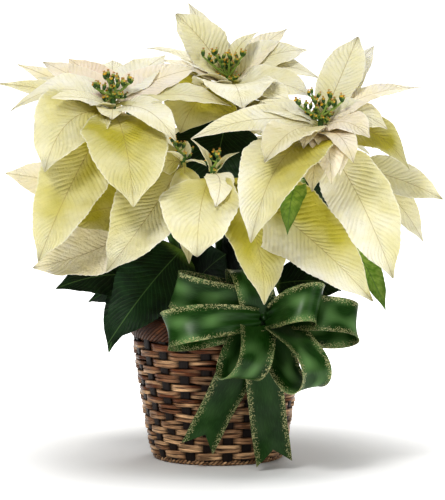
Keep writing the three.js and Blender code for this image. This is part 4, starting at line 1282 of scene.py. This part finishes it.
pair = add(tree, "Math", (row, given["Strands"]), operation="DIVIDE")
pair = add(tree, "Math", (pair,), operation="FLOOR")
phase = add(tree, "Math", (pair, math.pi), operation="MULTIPLY")
wave = add(tree, "Math", (angle, given["Waves"], phase), operation="MULTIPLY_ADD")
wave = add(tree, "Math", (wave,), operation="COSINE")
wave = add(tree, "Math", (wave, WAVE_STRETCH, WAVE_PUSH), operation="MULTIPLY_ADD")
swing = add(tree, "Clamp", (wave, -1.0, 1.0))
marked = add(tree, "StoreNamedAttribute", (rounds, True, "swing", swing), data_type="FLOAT")

share = add(tree, "Math", (level, given["Top"]), operation="DIVIDE")
share = add(tree, "Math", (share, WALL_CURVE), operation="POWER")
radius = add(tree, "Mix", (share, given["Foot"], given["Rim"]), data_type="FLOAT")
# Each reed wanders by its own slice of the noise.
seed = add(tree, "Math", (row, SLICE, given["Seed"]), operation="MULTIPLY_ADD")
here = add(tree, "InputPosition")
wander = add(tree, "TexNoise", {"Vector": here, "W": seed, "Scale": JOG_SCALE}, noise_dimensions="4D")
jog = add(tree, "Math", (wander, JOG * MM, -JOG / 2 * MM), operation="MULTIPLY_ADD")
out = add(tree, "Math", (swing, given["Float Out"], radius), operation="MULTIPLY_ADD")
out = add(tree, "Math", (jog, JOG_OUT, out), operation="MULTIPLY_ADD")
spot = spot_at(tree, angle, out, add(tree, "Math", (level, jog), operation="ADD"))
woven = add(tree, "SetPosition", {"Geometry": marked, "Position": spot})
upright = add(tree, "SetCurveNormal", {"Curve": woven}, mode="Z_UP")

# %% Weaving: the reed's section
# A reed's section is a flat oval with a shallow groove where it was split.
oval = add(tree, "CurvePrimitiveCircle", {"Resolution": 12, "Radius": 0.5})
at = add(tree, "SeparateXYZ", (add(tree, "InputPosition"),)).outputs
from_middle = add(tree, "Math", (at["Y"],), operation="ABSOLUTE")
groove = add(tree, "MapRange", (from_middle, 0.0, 0.18, 0.72, 1.0))
thick = add(tree, "Math", (groove, given["Reed Thickness"]), operation="MULTIPLY")
tall = add(tree, "Math", (pitch, given["Overlap"]), operation="ADD")
deep = add(tree, "Math", (at["X"], thick), operation="MULTIPLY")
high = add(tree, "Math", (at["Y"], tall), operation="MULTIPLY")
section = add(tree, "CombineXYZ", (deep, high))
edged = add(tree, "StoreNamedAttribute", (oval, True, "edge", from_middle), data_type="FLOAT")
flat_reed = add(tree, "SetPosition", {"Geometry": edged, "Position": section})
reeds = add(tree, "CurveToMesh", {"Curve": upright, "Profile Curve": flat_reed, "Scale": 1.0})

# Shade is painted dark into the splits between the reeds, and where a reed dips behind a stake.
edge = add(tree, "InputNamedAttribute", {"Name": "edge"}, data_type="FLOAT")
swung = add(tree, "InputNamedAttribute", {"Name": "swing"}, data_type="FLOAT")
split = add(tree, "MapRange", (edge, 0.28, 0.5, 0.0, 0.9))
dip = add(tree, "MapRange", (swung, 0.2, -0.9, 0.0, 0.95))
painted_shade = add(tree, "Math", (split, dip), operation="MAXIMUM")
marked = add(tree, "StoreNamedAttribute", (reeds, True, "painted_shade", painted_shade), data_type="FLOAT")
end_tree(tree, marked, given["Material"])
print("plain weave:", len(tree.nodes), "nodes")

# %% Weave the wall
weaving = grow(
    "weaving",
    tree,
    seed_of("weaving_seed", [(0, 0, 0)]),
    Rows=BASKET["rows"],
    Strands=REED["strands"],
    Bottom=BASKET_BOTTOM * MM,
    Top=BASKET["top"] * MM,
    Foot=BASKET["foot"] * MM,
    Rim=BASKET["rim"] * MM,
    Waves=BASKET["stakes"] // 2,
    Float_Out=BASKET["float_out"] * MM,
    Reed_Thickness=REED["thick"] * MM,
    Overlap=REED["overlap"] * MM,
    Seed=7,
    Material=weaver_reed,
)

# %% Stakes
# A stake's section is an oval with blunt sides. One stake is swept up the wall, and copies turn round it.
BLUNT = 2.4  # over 2, so that the oval is cut flat on its two broad faces
tree, given = start_tree("stakes_around", Count="Int", Width="Float", Thickness="Float", Material="Material")
path = add(tree, "MeshToCurve", {"Mesh": given["Geometry"]})
edge_on = add(tree, "SetCurveNormal", {"Curve": path}, mode="Z_UP")
round_profile = add(tree, "CurvePrimitiveCircle", {"Resolution": 16, "Radius": 0.5})
at = add(tree, "SeparateXYZ", (add(tree, "InputPosition"),)).outputs
blunt = add(tree, "Clamp", (add(tree, "Math", (at["Y"], BLUNT), operation="MULTIPLY"), -1.0, 1.0))
half_thick = add(tree, "Math", (given["Thickness"], 0.5), operation="MULTIPLY")
wide = add(tree, "Math", (at["X"], given["Width"]), operation="MULTIPLY")
thick = add(tree, "Math", (blunt, half_thick), operation="MULTIPLY")
section = add(tree, "CombineXYZ", (wide, thick))
strip = add(tree, "SetPosition", {"Geometry": round_profile, "Position": section})
swept = {"Curve": edge_on, "Profile Curve": strip, "Scale": 1.0, "Fill Caps": True}
stake = add(tree, "CurveToMesh", swept)
axis = add(tree, "MeshCircle", {"Vertices": given["Count"], "Radius": 1e-6})
index = add(tree, "InputIndex")
step = add(tree, "Math", (2 * math.pi, given["Count"]), operation="DIVIDE")
turn = add(tree, "CombineXYZ", {"Z": add(tree, "Math", (index, step), operation="MULTIPLY")})
numbered = add(tree, "StoreNamedAttribute", (axis, True, "row", index), data_type="FLOAT")
rotation = add(tree, "EulerToRotation", (turn,))
placed = add(tree, "InstanceOnPoints", {"Points": numbered, "Instance": stake, "Rotation": rotation})
end_tree(tree, placed, given["Material"])

stake_heights = np.linspace(STAKE["bottom"], BASKET["top"] + STAKE["over_top"], STAKE["points"])
stake_path = [(wall_radius(height), 0, height) for height in stake_heights]
stake_edges = [(i, i + 1) for i in range(len(stake_path) - 1)]
stakes = grow(
    "stakes",
    tree,
    seed_of("stakes_seed", stake_path, stake_edges),
    Count=BASKET["stakes"],
    Width=STAKE["wide"] * MM,
    Thickness=STAKE["thick"] * MM,
    Material=stake_reed,
)

# %% Rope of wound reeds
ROPE_POINTS = 300  # round the basket
tree, given = start_tree(
    "wound_rope",
    Strands="Int",
    Turns="Int",
    Radius="Float",
    Height="Float",
    Half_Depth="Float",
    Half_Height="Float",
    Strand_Width="Float",
    Material="Material",
)
bundle = add(tree, "MeshLine", {"Count": given["Strands"], "Offset": (0, 0, 0)})
strands = numbered_hoops(tree, bundle, ROPE_POINTS)
row, angle, level = place_on_hoop(tree)
each = add(tree, "Math", (row, given["Strands"]), operation="DIVIDE")
each = add(tree, "Math", (each, 2 * math.pi), operation="MULTIPLY")
wind = add(tree, "Math", (angle, given["Turns"]), operation="MULTIPLY")
wind = add(tree, "Math", (wind, each), operation="ADD")
depth = add(tree, "Math", (wind,), operation="COSINE")
depth = add(tree, "Math", (depth, given["Half Depth"]), operation="MULTIPLY")
out = add(tree, "Math", (given["Radius"], depth), operation="ADD")
rise = add(tree, "Math", (wind,), operation="SINE")
rise = add(tree, "Math", (rise, given["Half Height"]), operation="MULTIPLY")
spot = spot_at(tree, angle, out, add(tree, "Math", (given["Height"], rise), operation="ADD"))
wound = add(tree, "SetPosition", {"Geometry": strands, "Position": spot})
reed_round = add(tree, "CurvePrimitiveCircle", {"Resolution": 8, "Radius": 0.5})
swept = {"Curve": wound, "Profile Curve": reed_round, "Scale": given["Strand Width"]}
swept = add(tree, "CurveToMesh", swept)

# %% Rope: painted shade in its crevices
# How far a point stands out of the bundle's middle surface tells a strand's crest from the crevices.
parts = add(tree, "SeparateXYZ", (add(tree, "InputPosition"),)).outputs
level = add(tree, "CombineXYZ", {"X": parts["X"], "Y": parts["Y"]})
outward = add(tree, "VectorMath", (level,), operation="LENGTH").outputs["Value"]
outward = add(tree, "Math", (outward, given["Radius"]), operation="SUBTRACT")
upward = add(tree, "Math", (parts["Z"], given["Height"]), operation="SUBTRACT")
spoke = add(tree, "CombineXYZ", {"X": outward, "Y": upward})
halves = add(tree, "CombineXYZ", {"X": given["Half Depth"], "Y": given["Half Height"], "Z": 1.0})
scaled = add(tree, "VectorMath", (spoke, halves), operation="DIVIDE")
length = add(tree, "VectorMath", (spoke,), operation="LENGTH").outputs["Value"]
share = add(tree, "VectorMath", (scaled,), operation="LENGTH").outputs["Value"]
surface = add(tree, "Math", (length, share), operation="DIVIDE")
crest = add(tree, "Math", (length, surface), operation="SUBTRACT")
crest = add(tree, "Math", (crest, given["Strand Width"]), operation="DIVIDE")
painted_shade = add(tree, "MapRange", (crest, 0.22, 0.46, 1.0, 0.0))
marked = add(tree, "StoreNamedAttribute", (swept, True, "painted_shade", painted_shade), data_type="FLOAT")
end_tree(tree, marked, given["Material"])
rope_tree = tree
print("wound rope:", len(rope_tree.nodes), "nodes")


# %% Border and foot rope
STRAND_INSET = 0.9  # keeps the strands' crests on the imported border's surface
BORDER_RAISED = 1.1  # mm, because the strands' crests stand out past the border's half height
BORDER = dict(strands=16, turns=6, radius=84, half_depth=8, half_height=11.5, strand_wide=4.2)
BORDER |= dict(height=BASKET["top"] + GAP + BORDER["half_height"] + BORDER_RAISED)
FOOT = dict(strands=3, turns=30, radius=BASKET["foot"], height=3.3)
FOOT |= dict(half_depth=1.3, half_height=1.6, strand_wide=3.2)


def wind_rope(name, rope, inset, material):
    """A rope of reeds round the basket, from its sizes in millimetres."""
    return grow(
        name,
        rope_tree,
        seed_of(name + "_seed", [(0, 0, 0)]),
        Strands=rope["strands"],
        Turns=rope["turns"],
        Radius=rope["radius"] * MM,
        Height=rope["height"] * MM,
        Half_Depth=(rope["half_depth"] - inset) * MM,
        Half_Height=(rope["half_height"] - inset) * MM,
        Strand_Width=rope["strand_wide"] * MM,
        Material=material,
    )


border = wind_rope("border", BORDER, STRAND_INSET, border_reed)
foot_rope = wind_rope("foot_rope", FOOT, 0, weaver_reed)


# %% Floor of the basket
def lathe(name, profile, sides, material):
    """A shape turned round the upright axis. Its profile starts and ends on the axis."""
    points = [(0, 0, profile[0][1])]
    for radius, height in profile[1:-1]:
        points += ring(radius, height, sides)
    points.append((0, 0, profile[-1][1]))
    made = object_from(name, points, skin(len(profile) - 2, sides), [material])
    made.data.set_sharp_from_angle(angle=math.radians(50))
    return made


# A round basket's floor is woven too, in rings round its middle, and it is finished with a rope at its edge.
WOVEN_FLOOR = dict(rings=12, radius=64, under=0.5, over=4.6, ripple=0.45)


def floor_profile(height, ripple, start, end):
    """Half a section of the floor: a wave for each woven ring."""
    ring_wide = WOVEN_FLOOR["radius"] / WOVEN_FLOOR["rings"]
    radii = np.linspace(start, end, WOVEN_FLOOR["rings"] * 6)
    return [(radius, height + ripple * math.cos(2 * math.pi * radius / ring_wide)) for radius in radii]


under = floor_profile(WOVEN_FLOOR["under"], WOVEN_FLOOR["ripple"], 0, WOVEN_FLOOR["radius"])
over = floor_profile(WOVEN_FLOOR["over"], -WOVEN_FLOOR["ripple"], WOVEN_FLOOR["radius"], 0)
basket_floor = lathe("basket_floor", under + over, 88, border_reed)
print("faces of the floor:", len(basket_floor.data.polygons))

# %% Attach the basket
basket_pieces = (
    (weaving, "basket_wall", "wall_reed"),
    (stakes, "basket_wall", "wall_reed"),
    (border, "basket_rim", "border_reed"),
    (foot_rope, "basket_base", "border_reed"),
    (basket_floor, "basket_base", "border_reed"),
)
for piece, node, slot in basket_pieces:
    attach(piece, "root")
    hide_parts(node)
print("pieces of the basket:", len(basket_pieces))

# %% [markdown]
# ## The pot inside
# A basket like this hides a plain grower's pot. It is thin moulded plastic with a rolled lip, and it is
# turned here from its section, as a potter would, with every corner slightly rounded.

# %% Liner pot
# Moulded polypropylene is dull and nearly black, with a fine grain that it took from the mould.
dark_plastic, tree, shader = finish_of("moulded_pot_plastic", Roughness=0.45)
paint(tree, shader, "#2a2926", (patches(tree, 9), "#33312d"))
fine = add(tree, "Bump", {"Strength": 0.15, "Distance": 0.2 * MM, "Height": patches(tree, 0.9)})
connect(tree, fine, shader.inputs["Normal"])

POT_WALL = 2
POT_FOOT = 53
POT_INSIDE = 50  # the radius of its floor, inside
POT_MOUTH = 72  # the wall's radius if it ran on to the top, where the lip is
POT_PROFILE = [
    (0, POT_FLOOR),
    (POT_FOOT - POT_WALL, POT_FLOOR),
    (POT_FOOT, POT_FLOOR + 1.5),
    (69.9, POT_TOP - 12.6),
    (70.6, POT_TOP - 12),
    (73.2, POT_TOP - 12),
    (74, POT_TOP - 11),
    (74, POT_TOP - 1.2),
    (73, POT_TOP),
    (70.6, POT_TOP),
    (69.8, POT_TOP - 0.8),
    (51.2, POT_FLOOR + POT_WALL + 1),
    (POT_INSIDE, POT_FLOOR + POT_WALL),
    (0, POT_FLOOR + POT_WALL),
]
pot = lathe("grower_pot", POT_PROFILE, 96, dark_plastic)
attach(pot, "root")
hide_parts("liner_pot")
print("height of the pot:", POT_HEIGHT, "mm")

# %% [markdown]
# ## Potting soil
# Peat-based soil is a dark, crumbly heap. Its top is a turned shape whose points are moved a little up or
# down at random, and a tree scatters several hundred crumbs over it. Both have a fixed seed, so that it is
# the same soil on each run.

# %% Soil
# Damp peat swallows light: it is dark, very rough and uneven in colour.
peat, tree, shader = finish_of("damp_peat", Roughness=0.95)
paint(tree, shader, "#2a1d13", (patches(tree, 3), "#4a3624"))
rough_bump = add(tree, "Bump", {"Strength": 0.8, "Distance": 1.2 * MM, "Height": patches(tree, 2.2)})
connect(tree, rough_bump, shader.inputs["Normal"])

SOIL_CLEAR = 0.7  # between the soil and the pot's wall, mm
LUMPS = (-1.1, 0.6)  # how far a point on top is moved, mm
soil_floor = POT_FLOOR + POT_WALL + GAP
soil_share = (SOIL_EDGE - POT_FLOOR - POT_WALL) / (POT_HEIGHT - POT_WALL)
soil_rim = POT_FOOT + (POT_MOUTH - POT_FOOT) * soil_share - POT_WALL - SOIL_CLEAR
SOIL_PROFILE = [(0, soil_floor), (POT_INSIDE, soil_floor), (soil_rim, SOIL_EDGE)]
SOIL_PROFILE += [(soil_rim * s, SOIL_TOP - SOIL_HEAP * s**2) for s in np.linspace(0.95, 0.05, 16)]
SOIL_PROFILE += [(0, SOIL_TOP)]
soil = lathe("soil_heap", SOIL_PROFILE, 72, peat)
rng = np.random.default_rng(3)
for vertex in soil.data.vertices:
    if vertex.co.z > (SOIL_EDGE + 0.2) * MM:
        vertex.co.z += rng.uniform(*LUMPS) * MM
print("faces of the soil heap:", len(soil.data.polygons))

# %% Crumbs
CRUMBS = dict(on_a_square_metre=42000.0, radius=1.6, smallest=0.4, largest=1.2)  # the last two are scales
tree, given = start_tree(
    "scattered_crumbs",
    Density="Float",
    Small="Float",
    Large="Float",
    Lowest="Float",
    Seed="Int",
    Material="Material",
)
height = add(tree, "SeparateXYZ", (add(tree, "InputPosition"),)).outputs["Z"]
on_top = add(tree, "Compare", (height, given["Lowest"]), operation="GREATER_THAN")
over = {"Mesh": given["Geometry"], "Selection": on_top, "Density": given["Density"], "Seed": given["Seed"]}
scattered = add(tree, "DistributePointsOnFaces", over).outputs
crumb = add(tree, "MeshIcoSphere", {"Radius": CRUMBS["radius"] * MM, "Subdivisions": 1})
size = add(tree, "RandomValue", {"Min": given["Small"], "Max": given["Large"], "Seed": 9})
lying = {"Points": scattered["Points"], "Instance": crumb, "Rotation": scattered["Rotation"], "Scale": size}
placed = add(tree, "InstanceOnPoints", lying)
end_tree(tree, placed, given["Material"], flat=True)
soil_seed = bpy.data.objects.new("crumb_seed", soil.data.copy())
bpy.context.scene.collection.objects.link(soil_seed)
crumbs = grow(
    "soil_crumbs",
    tree,
    soil_seed,
    Density=CRUMBS["on_a_square_metre"],
    Small=CRUMBS["smallest"],
    Large=CRUMBS["largest"],
    Lowest=(SOIL_EDGE - 1) * MM,
    Seed=4,
    Material=peat,
)
for piece in (soil, crumbs):
    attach(piece, "root")
    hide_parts("soil")

# %% [markdown]
# ## The bow
# The bow is one long satin ribbon, 38 mm wide, pulled into seven loops and two tails and tied in the middle.
# Satin is woven so that long threads lie on its face, which gives a broad soft gloss. Both edges are wired
# and carry a band of gold glitter. Each loop is a band that runs out along a curve and back. Cloth simulation
# wouldn't hold a wired ribbon's loops, so they are written as curves, pinched and pleated at the knot.

# %% Ribbon material
# Satin's long threads mirror the light in streaks. Here that gloss is partly painted: lighter painted streaks
# along the threads, and a painted sheen in bars where a loop swells, over a body that is darker in broad
# random patches. The glitter is loose flakes, each with a shade of its own, and they lie closer towards the
# edge. The threads are drawn several times as wide as they are, and the flakes about twice as large, because
# they are too fine to show.
HALF_RIBBON = 19  # mm, and so are the widths and lengths that follow
THREAD_WIDE = 0.7
THREAD_LONG = 9
BAR_LONG = 30
FLAKE = 0.8
BAND = 0.6  # where the first flakes of glitter lie, as a share of the half width
satin, tree, shader = finish_of("green_satin_ribbon", Roughness=0.3)
shader.inputs["Specular IOR Level"].default_value = 0.2
own = {key: add(tree, "Attribute", attribute_name=key) for key in ("across", "run", "swell")}
shade = add(tree, "MapRange", (patches(tree, 60), 0.25, 0.75))
# Lighter streaks along the threads are painted highlights.
across = add(tree, "Math", (own["across"], HALF_RIBBON / THREAD_WIDE), operation="MULTIPLY")
along = add(tree, "Math", (own["run"], 1 / THREAD_LONG), operation="MULTIPLY")
threads_place = add(tree, "CombineXYZ", (across, along))
threads = add(tree, "TexNoise", {"Vector": threads_place, "Scale": 1.0, "Detail": 3.0})
bright = add(tree, "MapRange", (threads, 0.45, 0.75, 0, 0.2))

# Where a loop swells, a painted sheen lies in bars across the ribbon.
along = add(tree, "Math", (own["run"], 1 / BAR_LONG), operation="MULTIPLY")
bar_place = add(tree, "CombineXYZ", (own["across"], along))
bars = add(tree, "TexNoise", {"Vector": bar_place, "Scale": 1.0, "Detail": 0.0})
bars = add(tree, "MapRange", (bars, 0.4, 0.72, 0.0, 1.0))
sheen = add(tree, "Math", (own["swell"], bars), operation="MULTIPLY")
sheen = add(tree, "Math", (sheen, 0.65), operation="MULTIPLY")

side = add(tree, "Math", (own["across"],), operation="ABSOLUTE")
flake_place = add(tree, "TexCoord").outputs["Object"]
flakes = add(tree, "TexVoronoi", {"Vector": flake_place, "Scale": 1000 / FLAKE})
flake_shade = add(tree, "SeparateXYZ", (flakes.outputs["Color"],)).outputs["X"]
in_band = add(tree, "MapRange", (side, BAND, 0.92, 0.0, 0.6))
dense = add(tree, "Math", (flake_shade, in_band), operation="ADD")
glitter = add(tree, "MapRange", (dense, 1.0, 1.25, 0.0, 0.8))
gold = add(tree, "Mix", (flake_shade, "#465529", "#c3bd8c"), data_type="RGBA")
paint(tree, shader, "#1c400d", (shade, "#102806"), (bright, "#4a7c3c"), (sheen, "#7aa263"), (glitter, gold))
connect(tree, add(tree, "Math", (glitter, 0.5), operation="MULTIPLY"), shader.inputs["Metallic"])
grit = add(tree, "Bump", {"Strength": 0.6, "Distance": 0.4 * MM, "Height": glitter})
weave_bump = add(tree, "Bump", {"Strength": 0.12, "Distance": 0.3 * MM, "Height": threads, "Normal": grit})
connect(tree, weave_bump, shader.inputs["Normal"])
print("satin:", len(tree.nodes), "nodes")

# %% Bow sizes
KNOT = np.array([47, -120, 158.0])
RIBBON = dict(width=2 * HALF_RIBBON, thick=0.6, knot=13, pinch=0.34, ends=0.07)
PLEAT = dict(deep=4.0, half_turns=2.5)  # in a ribbon that is pinched at the knot
CURL = 2.6  # mm that both edges curl back
WANDERS = ((15, 1.5, 1.1), (8, -2, 0.5))  # waves: how long, how slanted and how high
BAND_TURNS = 3  # random turns that a band draws, one for each wave and one spare
HEM = dict(starts=0.93, thick=0.25)  # the wired edge, and how much it adds to each face

# A loop: where its far end lies, how far behind the knot it starts, how far it opens, and which way its width
# runs. The extras move its start, and say how fast it widens from the pinch.
LOOPS = rows_of(
    ("to", "behind", "open", "wide"),
    ((-42, -105, 186), 8, 24, (0.25, -0.1, 1), dict(lift=9, opens=4)),
    ((-51, -128, 146), -2, 32, (-0.15, 0.35, 1), dict(opens=1.2)),
    ((27, -104, 206), 2, 24, (1, 0.25, 0.2), dict(beside=-4, opens=4)),
    ((99, -140, 175), -4, 24, (0.18, 0.35, 1), dict(opens=1.5)),
    ((139, -108, 151), 6, 42, (-0.09, 0.5, 1), dict(opens=1.5)),
    ((22, -150, 102), -9, 34, (1, 0.6, -0.05), dict(beside=-8, lift=-4, opens=5)),
    ((93, -150, 94), -6, 40, (1, 0.85, 0.2), dict(beside=9, lift=-4, opens=3.5)),
)
# A tail: points on its way, which way its width runs at its end, and how deep its notch is.
TAILS = rows_of(
    ("points", "across", "notch"),
    ([(30, -103, 122), (3, -94, 68), (-20, -92, 21)], (1, 0.5, -0.3), 17),
    ([(46, -104, 112), (51, -97, 58), (58, -98, 7)], (1, 0.25, -0.1), 15),
)
LOOP_STATIONS = 64
TAIL_STATIONS = 56
RIBBON_COLUMNS = 17
NOTCH_FROM = 0.75  # of a tail's length, where its notch begins to cut in
BELLY = 1.3  # the product of a loop's two sines peaks at 1 / 1.3
print("loops and tails:", len(LOOPS), len(TAILS))


# %% Loops
def loop_stations(loop):
    """The ribbon's middle, its direction across and its half width, at stations round a loop."""
    start = KNOT + [loop.get("beside", 0), loop["behind"], loop.get("lift", 0)]
    reach = np.array(loop["to"], float) - start
    across = np.array(loop["wide"], float)
    depth = np.cross(across, unit(reach))
    across = across / np.linalg.norm(depth)
    share = np.linspace(RIBBON["ends"], 1 - RIBBON["ends"], LOOP_STATIONS)[:, None]
    angle = 2 * np.pi * share
    part = (loop["open"] / 2) * np.sin(angle) * np.sin(angle / 2) * BELLY
    middle = start + reach * (0.5 - 0.5 * np.cos(angle)) + unit(depth) * part
    gathered = np.minimum(1, np.sin(np.pi * share) * loop.get("opens", 2.6))
    gathered = RIBBON["pinch"] + (1 - RIBBON["pinch"]) * gathered
    return middle, np.repeat(across[None, :], LOOP_STATIONS, 0), gathered[:, 0], None


# %% Tails
def smooth_path(points, count):
    """Points at even steps along a centripetal Catmull-Rom curve."""
    points = np.array(points, float)
    ends = [2 * points[0] - points[1], *points, 2 * points[-1] - points[-2]]
    dense = []
    for p0, p1, p2, p3 in zip(ends, ends[1:], ends[2:], ends[3:]):
        knots = np.cumsum([0] + [np.linalg.norm(b - a) ** 0.5 for a, b in ((p0, p1), (p1, p2), (p2, p3))])
        t = np.linspace(knots[1], knots[2], 40)[:, None]
        t0, t1, t2, t3 = knots
        a1 = (t1 - t) / (t1 - t0) * p0 + (t - t0) / (t1 - t0) * p1
        a2 = (t2 - t) / (t2 - t1) * p1 + (t - t1) / (t2 - t1) * p2
        a3 = (t3 - t) / (t3 - t2) * p2 + (t - t2) / (t3 - t2) * p3
        b1 = (t2 - t) / (t2 - t0) * a1 + (t - t0) / (t2 - t0) * a2
        b2 = (t3 - t) / (t3 - t1) * a2 + (t - t1) / (t3 - t1) * a3
        dense.append((t2 - t) / (t2 - t1) * b1 + (t - t1) / (t2 - t1) * b2)
    dense = np.concatenate(dense)
    length = np.concatenate([[0], np.cumsum(np.linalg.norm(np.diff(dense, axis=0), axis=1))])
    even = np.linspace(0, length[-1], count)
    return np.stack([np.interp(even, length, dense[:, k]) for k in range(3)], axis=1)


def tail_stations(tail):
    """The same for a tail, with how far the notch cuts back."""
    start = KNOT + [0, RIBBON["knot"] * 0.6, 0]
    middle = smooth_path([start, *tail["points"]], TAIL_STATIONS)
    share = np.linspace(0, 1, TAIL_STATIONS)[:, None]
    across = (1 - share) * np.array([1.0, 0, 0]) + share * unit(np.array(tail["across"], float))
    gathered = RIBBON["pinch"] + (1 - RIBBON["pinch"]) * np.minimum(1, share * 3)
    return middle, across, gathered[:, 0], tail["notch"]


# %% One band of ribbon
def sheen_of(run, notch):
    """The share of painted sheen: most at the far end of a loop, and a little all along a tail."""
    swell = np.full(len(run), 0.2) if notch else 0.5 - 0.5 * np.cos(2 * np.pi * run / run[-1])
    return np.clip(2 * swell, 0, 1) ** 2


def ribbon_band(middle, across, gathered, notch, rng):
    """Points, faces and values of a band of ribbon with its thickness."""
    count = len(middle)
    tangent = unit(np.gradient(middle, axis=0))
    if notch:
        across = unit(across - np.sum(across * tangent, axis=1)[:, None] * tangent)
    out = unit(np.cross(tangent, across))
    v = np.linspace(-1, 1, RIBBON_COLUMNS)
    half = RIBBON["width"] / 2 * gathered
    loose = 1 - gathered
    pleats = PLEAT["deep"] * loose[:, None] * np.cos(PLEAT["half_turns"] * np.pi * v)[None, :]
    run = np.concatenate([[0], np.cumsum(np.linalg.norm(np.diff(middle, axis=0), axis=1))])
    curl = -CURL * (v**2)[None, :] * gathered[:, None]
    wander = 0
    for (length, slant, height), turn in zip(WANDERS, rng.uniform(0, WHOLE_TURN, BAND_TURNS)):
        wander = wander + np.sin(run[:, None] / length + turn + slant * v) * height
    lift = pleats + curl + wander * gathered[:, None]
    centre = middle[:, None, :] + across[:, None, :] * (half[:, None] * v)[..., None]
    if notch:
        share = np.linspace(0, 1, count)[:, None]
        back = np.clip((share - NOTCH_FROM) / (1 - NOTCH_FROM), 0, 1) * notch * (1 - np.abs(v))[None, :]
        centre = centre - tangent[:, None, :] * back[..., None]
    thick = RIBBON["thick"] / 2 + HEM["thick"] * (np.abs(v) > HEM["starts"])
    face = centre + out[:, None, :] * (lift + thick)[..., None]
    reverse = centre + out[:, None, :] * (lift - thick)[..., None]
    rings = np.concatenate([face, reverse[:, ::-1]], axis=1)
    around = 2 * RIBBON_COLUMNS
    faces = between_rings(count, around, mirrored=True)
    last = (count - 1) * around
    for k in range(RIBBON_COLUMNS - 1):
        other = around - 1 - k
        faces.append((k, k + 1, other - 1, other))
        faces.append((last + k, last + other, last + other - 1, last + k + 1))
    values = {
        "across": np.tile(np.concatenate([v, v[::-1]]), count),
        "run": np.repeat(run, around),
        "swell": np.repeat(sheen_of(run, notch), around),
    }
    return rings.reshape(-1, 3), faces, values, run[-1]


# %% Build the bow
rng = np.random.default_rng(5)
bands = [ribbon_band(*loop_stations(loop), rng) for loop in LOOPS]
bands += [ribbon_band(*tail_stations(tail), rng) for tail in TAILS]
bow = as_one("bow_ribbon", [band[:3] for band in bands], satin)

# %% [markdown]
# ## The knot
# A short end of the same ribbon is drawn tightly round the middle of the bow, so it gathers into pleats that
# run round it. The knot is small and round, so it is written as a squeezed ball with a wave for its pleats.

# %% Tie the knot
KNOT_SIZE = (7, 7, 8)  # half its width, depth and height, mm
KNOT_BACK = [0, 7, 0]  # it sits behind the loops' middle
KNOT_SIDES = 40
KNOT_RINGS = 24
KNOT_PLEATS = 7  # half waves from its top to its bottom
KNOT_PLEAT_DEPTH = 0.07  # as a share of the knot's size
KNOT_SQUEEZE = 0.25  # how much narrower it is at its top and bottom
KNOT_SWAY = 0.6  # how far the pleats wander up and down on their way round

points = []
for i in range(KNOT_RINGS + 1):
    up = math.pi * i / KNOT_RINGS
    squeeze = 1 - KNOT_SQUEEZE * math.cos(up) ** 4
    for x, y, _ in ring(1, 0, KNOT_SIDES):
        sway = KNOT_SWAY * math.sin(3 * math.atan2(y, x))
        pleat = 1 + KNOT_PLEAT_DEPTH * math.sin(up) * math.cos(KNOT_PLEATS * up + sway)
        spot = np.array([math.sin(up) * x * squeeze, math.sin(up) * y, math.cos(up)])
        points.append(KNOT + KNOT_BACK + spot * pleat * KNOT_SIZE)
knot = object_from("bow_knot", points, between_rings(KNOT_RINGS + 1, KNOT_SIDES, mirrored=True), [satin])
for key in ("across", "run", "swell"):
    knot.data.attributes.new(key, "FLOAT", "POINT")
print("faces of the knot:", len(knot.data.polygons))

# %% [markdown]
# ## The wire pick
# A florist winds a coated wire round the knot, bends it over the border and pushes its end into the soil. A
# wire is a tube along a path, so the helper that made the stems makes it too.

# %% Bend the wire
# Florist's wire is steel in a thin green coat, so it shines softly and only a little like metal.
wire_finish, tree, shader = finish_of("green_coated_wire", Roughness=0.4, Metallic=0.3)
paint(tree, shader, "#3a4a34", (patches(tree, 3), "#28351f"))
PICK_RADIUS = 1.2
PICK_ROUTE = [(47, -104.2, 160), (44, -88, 166), (38, -68, 160), (32, -52, 138), (30, -46, 92)]
pick = tubes("wire_pick", [[(p, PICK_RADIUS) for p in PICK_ROUTE]], wire_finish, step=3.0, sides=12)

# %% Attach the bow
bow_pieces = (
    (bow, "bow", "satin_ribbon"),
    (knot, "bow", "satin_ribbon"),
    (pick, "bow_pick", "wire"),
)
for piece, node, slot in bow_pieces:
    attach(piece, "root")
    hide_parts(node)
print("pieces of the bow:", len(bow_pieces))
